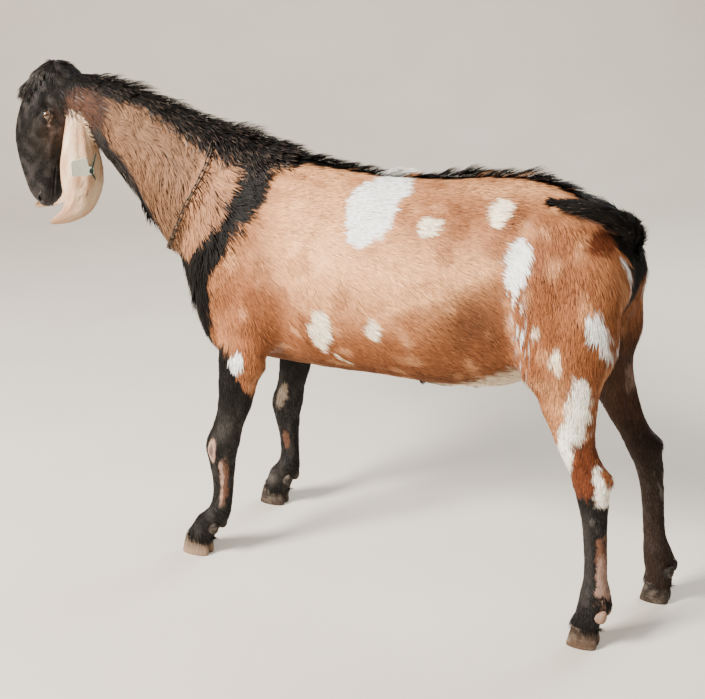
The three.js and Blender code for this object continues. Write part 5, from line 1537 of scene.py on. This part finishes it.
# Head: black hair, very short on the muzzle, longer over cheek and poll. It grows from the hide of the face,
# and none grows on lids, lips or nostrils.
middle_down, middle_above, middle_left = head_chart(triangle_middles).T
bare = (np.abs(middle_above + MOUTH_BELOW) < 1.8) & (middle_down > MOUTH_CORNER)
for side in (1, -1):
    off = triangle_middles - eye_centre(side)
    apart, ahead = slit_distance(off, side)
    bare |= (apart < 2.0) & (ahead > 0) & (np.linalg.norm(off, axis=1) < 22)
    bare |= np.linalg.norm(head_chart(triangle_middles) * [1, 1, side] - NOSTRIL_SPOT, axis=1) < 9
bare |= (middle_down > 274) & (np.abs(middle_left) < 16)
on_head = (owners == HEAD) & ~on_ear & ~bare


def head_length(q):
    down, above, _ = head_chart(q).T
    length = np.interp(down, [-20, 20, 70, 130, 200, 270], [20, 15, 10, 8, 5.5, 4])
    return length + 6 * ramp(-44, -66, above) * ramp(190, 120, down)


def head_width(q):
    return np.interp(head_chart(q)[:, 0], [0, 70, 150, 270], [2.4, 1.9, 1.5, 1.0])


coat_head = coat_of("coat_head", on_head, 21000, head_unwrap, length=head_length, width=head_width,
                    lift=lambda q: 0.20 + 0.06 * mottle(q, 20, 91), rings=1, flatness=0.16, spread=0.2)

# Forelock: a tuft of black hair with some grey, partly grey hair and partly painted sheen. It grows
# from the poll between the ears and falls over the forehead.
forelock = on_head & (np.abs(middle_down - 5) < 29) & (np.abs(middle_left) < 27) & (middle_above > 18)
coat_forelock = coat_of("coat_forelock", forelock, 1500, head_unwrap, length=34, width=2.2,
                        lift=lambda q: 0.34 + 0.14 * mottle(q, 20, 92), droop=0.5, sway=0.24, spread=0.3,
                        grey=0.3)

# Lashes: stiff black hairs that grow from the edges of the lids, a long row on the upper one
# and a short row on the lower.
LASH_WIDTH, LASH_LIFT = 0.55, 1.0
lash_roots, lash_out, lash_lie, lash_length = [], [], [], []
for side in (1, -1):
    out, slit, brow = eye_axes(side)
    for lid, count, reach in ((1, 46, 10.5), (-1, 26, 6.0)):
        along = np.linspace(-0.82, 0.82, count) * SLIT_HALF
        bow = 1 - (along / SLIT_HALF) ** 2
        above = (SLIT_ABOVE * bow if lid > 0 else -SLIT_BELOW * bow) + lid * 0.6
        ahead = np.sqrt(np.maximum((EYE_RADIUS + 1.6) ** 2 - along ** 2 - above ** 2, 1))
        way = np.outer(along, slit) + np.outer(above, brow) + np.outer(ahead, out)
        lash_roots.append(eye_centre(side) + way)
        lash_out.append(unit(way))
        lash_lie.append(unit(np.outer(0.3 + 0 * along, brow * lid) + np.outer(along * 0.06, slit)
                             - 0.4 * GRAVITY * lid))
        lash_length.append(0 * along + reach)
lash_roots, lash_out, lash_lie = [np.concatenate(v) for v in (lash_roots, lash_out, lash_lie)]
each_lash = np.ones(len(lash_roots))
lashes = tufts("coat_lashes", lash_roots, lash_out, lash_lie, np.concatenate(lash_length),
               each_lash * LASH_WIDTH, each_lash * LASH_LIFT, np.repeat(BLACK[None], len(lash_roots), 0),
               head_unwrap(lash_roots), droop=0.4, settle=0.9, flatness=0.5)

# Ears: a short cream nap on skin and gristle. It follows each leaf down to its tip, longer at the root
# and flat at the rim.
def ear_lie(q, out, _):
    chart = ear_chart(q)
    way = np.zeros_like(q)
    for side in (1, -1):
        own = chart[:, 0] == side
        ahead = ear_point(side, chart[own, 1] + 0.2, chart[own, 2], 0.0)
        way[own] = unit(ahead - ear_point(side, chart[own, 1] - 0.2, chart[own, 2], 0.0))
    way = unit(way - out * (way * out).sum(1)[:, None] + 1e-6)
    return swirled(way, out, 0.3 * mottle(q, 30, 93))


def ear_unwrap(q):
    """Four panels, the inner and the outer face of each ear."""
    chart = ear_chart(q)
    left, along, across, _ = chart.T
    panel = outer_face(q, chart) * 0.25 + np.where(left > 0, 0.0, 0.5)
    return np.stack([0.04 + along / 8.7, 0.125 + across * 0.11 + panel], 1)


def outer_face(q, chart):
    """1 on the outer face of an ear and 0 on the inner one."""
    face = np.zeros(len(q))
    for side in (1, -1):
        own = chart[:, 0] == side
        raised = ear_point(side, chart[own, 1], chart[own, 2], 3.0)
        sunk = ear_point(side, chart[own, 1], chart[own, 2], -3.0)
        face[own] = np.linalg.norm(q[own] - raised, axis=1) < np.linalg.norm(q[own] - sunk, axis=1)
    return face


def ear_length(q):
    _, along, across, _ = ear_chart(q).T
    return np.interp(along, [1, 2.5, 8], [10, 7, 5]) * (1 - 0.35 * ramp(0.75, 0.95, np.abs(across)))


coat_ears = coat_of("coat_ears", on_ear, 8000, ear_unwrap, length=ear_length, width=1.3,
                    lift=lambda q: 0.24 - 0.2 * ramp(0.7, 0.95, np.abs(ear_chart(q)[:, 2])), rings=1,
                    lie_way=ear_lie, flatness=0.14, spread=0.10, root_tone=0.85)

# Legs: short close hair from elbow and stifle to hoof. It grows from the hide, a little longer behind
# the cannon, at the fetlock and over the hoof.
def leg_length(q):
    length = np.interp(q[:, 2], [44, 56, 70, 110, 240, 330, 430], [19, 18, 10, 9, 9, 14, 22])
    angle = np.zeros(len(q))
    for leg in leg_paths:
        own = (np.where(q[:, 0] > 0, "fore", "hind") == leg[:4]) & ((q[:, 1] > 0) == leg.endswith("left"))
        angle[own] = np.abs(leg_chart(q[own], leg)[3])
    return length + ramp(110, 165, angle) * (4 * ramp(260, 200, q[:, 2]) + 7 * blob((q[:, 2], 104, 20)))


for pair, columns in (("fore", (FORE_LEFT, FORE_RIGHT)), ("hind", (HIND_LEFT, HIND_RIGHT))):
    piece = coat_of(f"coat_{pair}legs", on_legs & np.isin(owners, columns), 15500, legs_unwrap,
                    length=leg_length, width=lambda q: np.interp(q[:, 2], [60, 250, 430], [1.7, 1.9, 2.5]),
                    lift=lambda q: 0.15 + 0.05 * mottle(q, 24, 94), rings=1, spread=0.2)

# Tail: long black hair that grows from the dock, longest in the middle, and is drawn to a point
# where the tip is flicked forward over the croup.
def tail_unwrap(q):
    place, _ = tail_chart(q)
    middle = row_at(tail_rows, place)
    angle = np.arctan2(q[:, 1] - middle[:, 1], q[:, 2] - middle[:, 2])
    return np.stack([0.05 + place / 6.7, 0.5 + angle / 6.6], 1)


def tail_length(q):
    place, _ = tail_chart(q)
    return np.interp(place, [0, 1, 2, 4, 5, 6], [34, 40, 44, 50, 38, 24])


def tail_lie(q, *_):
    """Each tuft aims along the bend of the tail, a little outside its middle line."""
    place, _ = tail_chart(q)
    here, ahead = row_at(tail_rows, place)[:, :3], row_at(tail_rows, place + 1.0)[:, :3]
    end_way = unit(tail_dense[6 * TAIL_FINE, :3] - tail_dense[5 * TAIL_FINE, :3])
    past = ramp(4.2, 5.6, place)[:, None] * end_way * 24
    keep = np.interp(place, [0, 3.2, 4.6, 6], [1, 0.95, 0.6, 0.1])[:, None]
    return unit(ahead + past + (q - here) * keep - q)


# A few tufts get grey tips, a painted sheen on the black hair.
coat_tail = coat_of("coat_tail", owners == TAIL, 5400, tail_unwrap, length=tail_length, width=2.4,
                    lift=lambda q: 0.16 + 0.12 * mottle(q, 30, 95), lie_way=tail_lie, droop=0.10, sway=0.18,
                    spread=0.3, grey=0.05)

# Sheath tuft: a few dark hairs at the mouth of the sheath, under the belly. They grow from its hide
# and hang down.
sheath_tuft = (owners == SHEATH) & (middle_x > -52) & (middle_z < 436)
coat_sheath = coat_of("coat_sheath", sheath_tuft, 160, trunk_unwrap, length=15, width=1.8, lift=0.7,
                      droop=0.6, sway=0.3)

# Eyes: wet amber-brown balls with a bulging cornea, held in their sockets by the lids. The dark slit
# of the pupil stays nearly level as the head hangs.
CORNEA_RISE = 0.9
PUPIL_HALF, PUPIL_THIN, PUPIL_TURN = 0.36, 0.12, 52
IRIS_REACH = 0.66

eye_finish, start, surface = finish_named("wet_eye", Roughness=0.04, Coat_Weight=1.0, Coat_Roughness=0.02)
gaze = start.node("ShaderNodeSeparateXYZ", i0=start.stored("gaze", 1))
gaze_slit, gaze_brow = gaze, Finish(gaze.tree, gaze.socket.node.outputs[1])
turn = math.radians(PUPIL_TURN)
level = (gaze_slit * math.cos(turn) + gaze_brow * math.sin(turn)) * (1 / PUPIL_HALF)
upright = (gaze_brow * math.cos(turn) - gaze_slit * math.sin(turn)) * (1 / PUPIL_THIN)
pupil = (1.0 - (level * level) ** 2.0 - upright * upright) * 3.0
reach = gaze_slit * gaze_slit + gaze_brow * gaze_brow
ring = ((reach - IRIS_REACH ** 2 * 0.72) * 7.0).clamped()
white = ((reach - IRIS_REACH ** 2) * 26.0).clamped()
rays = grain(start, 900.0, 3.0)
iris = (rays * 1.7 - 0.35).clamped().tinted((0.030, 0.012, 0.005, 1), (0.12, 0.055, 0.018, 1))
iris = ring.tinted(iris, (0.03, 0.014, 0.008, 1))
iris = white.tinted(iris, (0.06, 0.034, 0.026, 1))
dress(surface, Base_Color=pupil.clamped().tinted(iris, (0.003, 0.003, 0.004, 1)))


def closed_mesh(name, rings):
    """A piece through rings of corners, closed at both ends, facing outwards."""
    corners, faces = ring_shell(rings)
    return mesh_object(name, corners, facing_out(corners, faces))


for side, name in SIDES:
    out, slit, brow = eye_axes(side)
    ways = [way for _, way in ball_rings(56, 72, 0.012)]
    rings = []
    for way in ways:
        bulge = EYE_RADIUS - CORNEA_RISE * 0.6 + CORNEA_RISE * ramp(0.72, 0.90, way[:, 2])
        rings.append(eye_centre(side) + (way * bulge[:, None]) @ np.stack([slit, brow, out]))
    eye = closed_mesh("eyeball_" + name, rings)
    seen = eye.data.attributes.new("gaze", "FLOAT_VECTOR", "POINT")
    ends = np.array([[0, 0, 1], [0, 0, -1]])
    seen.data.foreach_set("vector", np.concatenate(ways + [ends]).astype(np.float32).ravel())
    eye.data.materials.append(eye_finish)
    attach(eye, "root")
    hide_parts("eye_" + name)

# Hooves: two claws of grey-brown horn to a foot, parted by a cleft, with rings of growth and softer
# heels, and two dewclaws like buds behind the fetlock. They grow from the feet and stand on the floor.
CLAW_LENGTH = {"fore": 62.0, "hind": 57.0}
CLAW_FORWARD = {"fore": 10.0, "hind": 4.0}
CLAW_WIDTH, CLAW_SPLAY, CLAW_GAP, CORONET = 22.0, 5.0, 1.6, 43.7
CLAW_LEVELS = np.array([[0, 1, 1, 1], [6, 0.98, 1, 1], [26, 0.84, 0.9, 0.98], [43.7, 0.68, 0.78, 0.9]])
DEWCLAW_HEIGHT, DEWCLAW_RADII, DEWCLAW_LEAN = 74.0, (11.0, 9.0, 15.0), -28

hoof_finish, start, surface = finish_named("hoof_horn", Specular_IOR_Level=0.2)
dust = grain(start, 70.0, 5.0)
fibre = start.node("ShaderNodeTexNoise", Scale=420.0, Detail=3.0, Vector=start.node(
    "ShaderNodeMapping", Vector=own_places(start), Scale=(1.0, 1.0, 0.12)))
band = start.node("ShaderNodeTexWave", output=1, settings={"bands_direction": "Z"}, Vector=own_places(start),
                  Scale=44.0, Distortion=2.2, Detail=2.0)
fibre_tint = (fibre * 1.5 - 0.3).clamped().tinted((0.5, 0.48, 0.46, 1), (1.25, 1.2, 1.15, 1))
horn = start.blended(1.0, start.stored("horn_tone"), fibre_tint, "MULTIPLY")
dusty = (dust * 1.3 - 0.6).clamped().tinted(horn, (0.22, 0.175, 0.13, 1))
dress(surface, Base_Color=dusty, Roughness=dust * 0.3 + 0.5,
      Normal=start.bump(0.5, 0.0008, band * 0.6 + fibre))


def claw_ring(leg, side, height):
    pair = leg.split("_")[0]
    toe, heel, wide = [np.interp(height, CLAW_LEVELS[:, 0], CLAW_LEVELS[:, k]) for k in (1, 2, 3)]
    _, x, y = leg_paths[leg][-1]
    a = round_angles(48)
    ribbed = 1 - math.exp(-((height - 30) / 30) ** 2 * 3)
    growth = 1 + 0.010 * math.sin(height * 1.25) * ribbed - 0.03 * max(0, 3 - height) / 3
    along = np.cos(a) * CLAW_LENGTH[pair] / 2 * np.where(np.cos(a) > 0, toe, heel) * growth
    point = 1 - 0.26 * np.clip(np.cos(a), 0, 1) ** 2
    across = np.abs(np.sin(a)) ** 0.8 * np.sign(np.sin(a)) * CLAW_WIDTH / 2 * wide * growth * point
    across += side * (CLAW_WIDTH / 2 + CLAW_GAP)
    splay = math.radians(side * CLAW_SPLAY)
    heel_bulb = 2.2 * blob((a, np.pi, 0.9)) * math.exp(-((height - 16) / 11) ** 2)
    ahead = (along - heel_bulb) * math.cos(splay) - across * math.sin(splay)
    return np.stack([x + CLAW_FORWARD[pair] + ahead, y + across + along * math.sin(splay), height + 0 * a], 1)


def bud_rings(leg, side):
    """A dewclaw: a small ribbed egg, leaned back behind the fetlock."""
    height = np.array([[0, 0, DEWCLAW_HEIGHT]])
    _, _, size, _ = leg_chart(height, leg)
    middle = at_height(leg_paths[leg], height[:, 2])[0]
    angle = math.pi - side * 0.75
    spot = np.array([middle[1] + math.cos(angle) * size[0, 2] - 2, middle[2] + math.sin(angle) * size[0, 3],
                     DEWCLAW_HEIGHT])
    for t, ball in ball_rings(20, 24, 0.03):
        ball = ball * (1 + 0.02 * math.sin(t * 22)) * DEWCLAW_RADII * [1 - 0.25 * math.cos(t), 1, 1]
        yield spot + leaned(ball, math.radians(DEWCLAW_LEAN))


# The horn of each foot, and of its dewclaws. The right feet are darker, partly their own horn
# and partly painted shade.
HORN_TONES = {leg: (paint(horn), paint(bud)) for leg, horn, bud in (
    ("fore_left", (118, 98, 82), (36, 30, 26)), ("fore_right", (52, 43, 37), (40, 33, 29)),
    ("hind_left", (72, 55, 43), (134, 107, 90)), ("hind_right", (44, 36, 30), (28, 23, 20)))}
CLAW_HEIGHTS = np.concatenate([[0, 0.6, 1.6, 3], np.linspace(5, CORONET, 26)])
for leg in leg_paths:
    pair, leg_side = leg.split("_")
    whole_leg = f"{pair}leg_{leg_side}"
    for side, name in SIDES:
        claw = closed_mesh(f"horn_{leg}_{name}", [claw_ring(leg, side, height) for height in CLAW_HEIGHTS])
        bud = closed_mesh(f"bud_{leg}_{name}", bud_rings(leg, side))
        for piece, node, tone in ((claw, "claw", HORN_TONES[leg][0]), (bud, "dewclaw", HORN_TONES[leg][1])):
            heights = np.array([corner.co.z for corner in piece.data.vertices]) * 1000
            # The horn of each claw is darker at the coronet and paler towards the ground.
            paler_downwards = 0.5 + 0.75 * ramp(CORONET - 8, 6, heights) if piece is claw else 1 + 0 * heights
            store_colours(piece, "horn_tone", paler_downwards[:, None] * tone)
            piece.data.materials.append(hoof_finish)
            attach(piece, "root")
            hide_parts(f"{whole_leg}_{node}_{name}")

# Ear tag: a blank plate of pale green soft plastic hung on the outer face of the ear by a dark green pin,
# with a button on the inner face. It has worn, dusty edges.
TAG_PLACE, TAG_ACROSS, TAG_TURN, TAG_OUT = 4.27, -0.3, 9, 5.2
TAG_OUTLINE = np.array([[-7, -8], [5, -9], [10, -30], [50, -26], [51, 7], [12, 9], [5, 8], [-7, 7]], float)
TAG_CORNER = 4.0
# Depth through the plate, and how far its edge is drawn in there
TAG_EDGE = [(0, 1.0), (0.0, 0.45), (0.25, 0.1), (0.6, 0), (1.2, 0), (1.55, 0.1), (1.8, 0.45), (1.8, 1.0)]
STRAP_HALF, STRAP_THIN, STRAP_STEPS = 2.1, 0.8, 30

tag_finish, start, surface = finish_named("tag_plastic", Subsurface_Weight=0.05)
dirt = grain(start, 130.0, 4.0)
scuffs = grain(start, 700.0, 2.0)
dusty = (dirt * 2.2 - 0.75).clamped().tinted((0.80, 0.86, 0.68, 1), (0.95, 0.98, 0.84, 1))
dress(surface, Base_Color=dusty, Roughness=scuffs * 0.3 + 0.28,
      Normal=start.bump(0.2, 0.0004, scuffs + dirt))
pin_finish, start, surface = finish_named("pin_plastic")
dirt = grain(start, 400.0, 3.0)
dusty = (dirt * 1.6 - 0.3).clamped().tinted((0.004, 0.012, 0.008, 1), (0.012, 0.032, 0.021, 1))
dress(surface, Base_Color=dusty, Roughness=dirt * 0.3 + 0.35)

tag_root = ear_point(1, TAG_PLACE, TAG_ACROSS, 0.0)[0]
tag_axes = np.stack([unit(ear_point(1, TAG_PLACE, TAG_ACROSS + 0.1, 0.0)[0] - tag_root),
                     unit(ear_point(1, TAG_PLACE + 0.1, TAG_ACROSS, 0.0)[0] - tag_root),
                     unit(ear_point(1, TAG_PLACE, TAG_ACROSS, 4.0)[0] - tag_root)])


def rounded_outline(outline, radius, steps=5):
    """The outline with each corner cut to a short round."""
    points = []
    for k in range(len(outline)):
        here, before, after = outline[k], outline[k - 1], outline[(k + 1) % len(outline)]
        reach = min(radius, 0.4 * np.linalg.norm(before - here), 0.4 * np.linalg.norm(after - here))
        start_point, end_point = here + unit(before - here) * reach, here + unit(after - here) * reach
        for t in np.linspace(0, 1, steps):
            points.append((1 - t) ** 2 * start_point + 2 * t * (1 - t) * here + t ** 2 * end_point)
    return np.array(points)


def on_ear_frame(points):
    return tag_root + points @ tag_axes


def tag_rings():
    """The plate's edge from its back to its front, with a round all along it."""
    turn = math.radians(TAG_TURN)
    outline = rounded_outline(TAG_OUTLINE, TAG_CORNER)
    ahead = np.roll(outline, -1, 0) - np.roll(outline, 1, 0)
    inward = unit(np.stack([-ahead[:, 1], ahead[:, 0]], 1))
    for depth, inset in TAG_EDGE:
        flat = outline + inward * inset
        bend = 0.0016 * (flat[:, 0] - 10) ** 2
        across, out = flat[:, 0], depth + bend * (flat[:, 0] > 10)
        yield on_ear_frame(np.stack([across * math.cos(turn) + out * math.sin(turn), flat[:, 1],
                                     out * math.cos(turn) - across * math.sin(turn) + TAG_OUT], 1))


def flat_ended(name, rings):
    """A plate through two like outlines, closed by flat faces of many corners."""
    count, sides = len(rings), len(rings[0])
    mesh = bpy.data.meshes.new(name)
    faces = []
    for r in range(count - 1):
        for s in range(sides):
            a, b = r * sides + s, r * sides + (s + 1) % sides
            faces.append((a, b, b + sides, a + sides))
    faces += [tuple(range(sides))[::-1], tuple(range((count - 1) * sides, count * sides))]
    mesh.from_pydata((np.concatenate(rings) * 0.001 + goat_place).tolist(), [], faces)
    work = bmesh.new()
    work.from_mesh(mesh)
    bmesh.ops.recalc_face_normals(work, faces=work.faces)
    bmesh.ops.triangulate(work, faces=[f for f in work.faces if len(f.verts) > 4])
    work.to_mesh(mesh)
    work.free()
    mesh.shade_smooth()
    mesh.set_sharp_from_angle(angle=math.radians(35))
    return placed(name, mesh)


def turned_rings(profile, sides=28):
    """Rings about the pin's line from height and radius."""
    a = round_angles(sides)
    return [on_ear_frame(np.stack([np.cos(a) * radius, np.sin(a) * radius, height + 0 * a], 1))
            for height, radius in profile]


plate = flat_ended("tag_plate", list(tag_rings()))
plate.data.materials.append(tag_finish)
pin = closed_mesh("tag_pin", turned_rings([
    (-6.2, 0.4), (-6.2, 4.6), (-5.9, 5.6), (-5.2, 6.0), (-4.7, 5.8), (-4.4, 5.0), (-4.3, 2.6), (-3.6, 2.2),
    (6.2, 2.2), (6.6, 2.6), (6.7, 5.2), (7.2, 5.9), (7.8, 5.8), (8.2, 4.8), (8.6, 2.4), (8.7, 0.4)]))
pin.data.materials.append(pin_finish)
# A thin strap of the pin's own plastic, bent down on to the ear above and below it: place, across, height
strap_rows = np.array([(3.50, -0.66, 4.4), (3.72, -0.52, 5.4), (4.0, -0.38, 7.6), (4.22, -0.31, 8.8),
                       (4.42, -0.33, 8.0), (4.62, -0.44, 5.6), (4.74, -0.50, 4.4)])
strap_places = [np.interp(np.linspace(0, 6, STRAP_STEPS), range(7), strap_rows[:, k]) for k in range(3)]
strap_spots = np.array([ear_point(1, *row)[0] for row in np.stack(strap_places, 1)])
strap_rings = []
for k, spot in enumerate(strap_spots):
    ahead = unit(strap_spots[min(k + 1, STRAP_STEPS - 1)] - strap_spots[max(k - 1, 0)])
    drawn_in = math.sin(math.pi * (0.06 + 0.88 * k / (STRAP_STEPS - 1))) ** 0.4
    wide = unit(np.cross(ahead, tag_axes[2])) * STRAP_HALF * drawn_in
    a = round_angles(14)[:, None]
    strap_rings.append(spot + np.cos(a) * wide + np.sin(a) * tag_axes[2] * STRAP_THIN)
strap = closed_mesh("tag_strap", strap_rings)
strap.data.materials.append(pin_finish)
for piece in (plate, pin, strap):
    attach(piece, "root")
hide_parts("tag_ear")

# Stage: a plain pale floor that rises behind the goat, and the camera at the photo's angle. A soft warm
# light stands to the camera's left and a weaker, cooler one behind the goat.
FLOOR_REACH, FLOOR_RISE_AT, FLOOR_BEND, FLOOR_TOP, FLOOR_DROP = 9.0, 3.4, 1.6, 6.0, 0.0005
VIEW_TURN, VIEW_FALL = math.radians(26.5), math.radians(18.6)
CAMERA_PLACE, SENSOR, FOCAL_PIXELS, PHOTO_WIDTH = np.array([-0.952, 2.121, 1.27]), 36, 1200, 705
# Name, watts, breadth, colour and place of each light
LIGHTS = [("key", 780, 1.2, (1.0, 0.95, 0.88), (1.6, 3.2, 2.9)),
          ("fill", 200, 2.0, (0.96, 0.98, 1.0), (-1.4, -3.0, 3.2))]

back_way = np.array([math.sin(VIEW_TURN), -math.cos(VIEW_TURN), 0.0])
side_way = np.array([math.cos(VIEW_TURN), math.sin(VIEW_TURN), 0.0])
profile = [(-FLOOR_REACH, 0.0), (0.0, 0.0), (FLOOR_RISE_AT, 0.0)]
for t in np.linspace(0.08, math.pi / 2, 20):
    profile.append((FLOOR_RISE_AT + FLOOR_BEND * math.sin(t), FLOOR_BEND * (1 - math.cos(t))))
profile.append((FLOOR_RISE_AT + FLOOR_BEND, FLOOR_TOP))
floor_corners = []
for run, height in profile:
    for across in (-FLOOR_REACH, FLOOR_REACH):
        spot = back_way * run + side_way * across
        floor_corners.append((spot[0], spot[1], height - FLOOR_DROP))
floor_faces = [(2 * k, 2 * k + 1, 2 * k + 3, 2 * k + 2) for k in range(len(profile) - 1)]
floor_mesh = bpy.data.meshes.new("floor")
floor_mesh.from_pydata(floor_corners, [], floor_faces)
floor_mesh.shade_smooth()
floor = placed("floor", floor_mesh)
floor_finish, start, surface = finish_named("floor_paint", Roughness=0.8)
dress(surface, Base_Color=grain(start, 3.0, 5.0).tinted((0.54, 0.49, 0.42, 1), (0.61, 0.56, 0.49, 1)))
floor.data.materials.append(floor_finish)

camera_data = bpy.data.cameras.new("camera")
camera_data.lens = SENSOR * FOCAL_PIXELS / PHOTO_WIDTH
camera_data.sensor_width = SENSOR
camera = placed("camera", camera_data)
camera.location = Vector(CAMERA_PLACE + goat_place)
look = Vector((*(back_way[:2] * math.cos(VIEW_FALL)), -math.sin(VIEW_FALL)))
camera.rotation_euler = look.to_track_quat("-Z", "Y").to_euler()
bpy.context.scene.camera = camera
for name, watts, breadth, tint, spot in LIGHTS:
    lamp = bpy.data.lights.new(name, "AREA")
    lamp.energy, lamp.size, lamp.color = watts, breadth, tint
    light = placed(name, lamp)
    light.location = spot
    light.rotation_euler = (Vector((0, 0, 0.5)) - light.location).to_track_quat("-Z", "Y").to_euler()
world = bpy.data.worlds.new("room")
world.use_nodes = True
backdrop = world.node_tree.nodes["Background"]
backdrop.inputs["Color"].default_value = (1.0, 0.97, 0.93, 1)
backdrop.inputs["Strength"].default_value = 0.6
bpy.context.scene.world = world
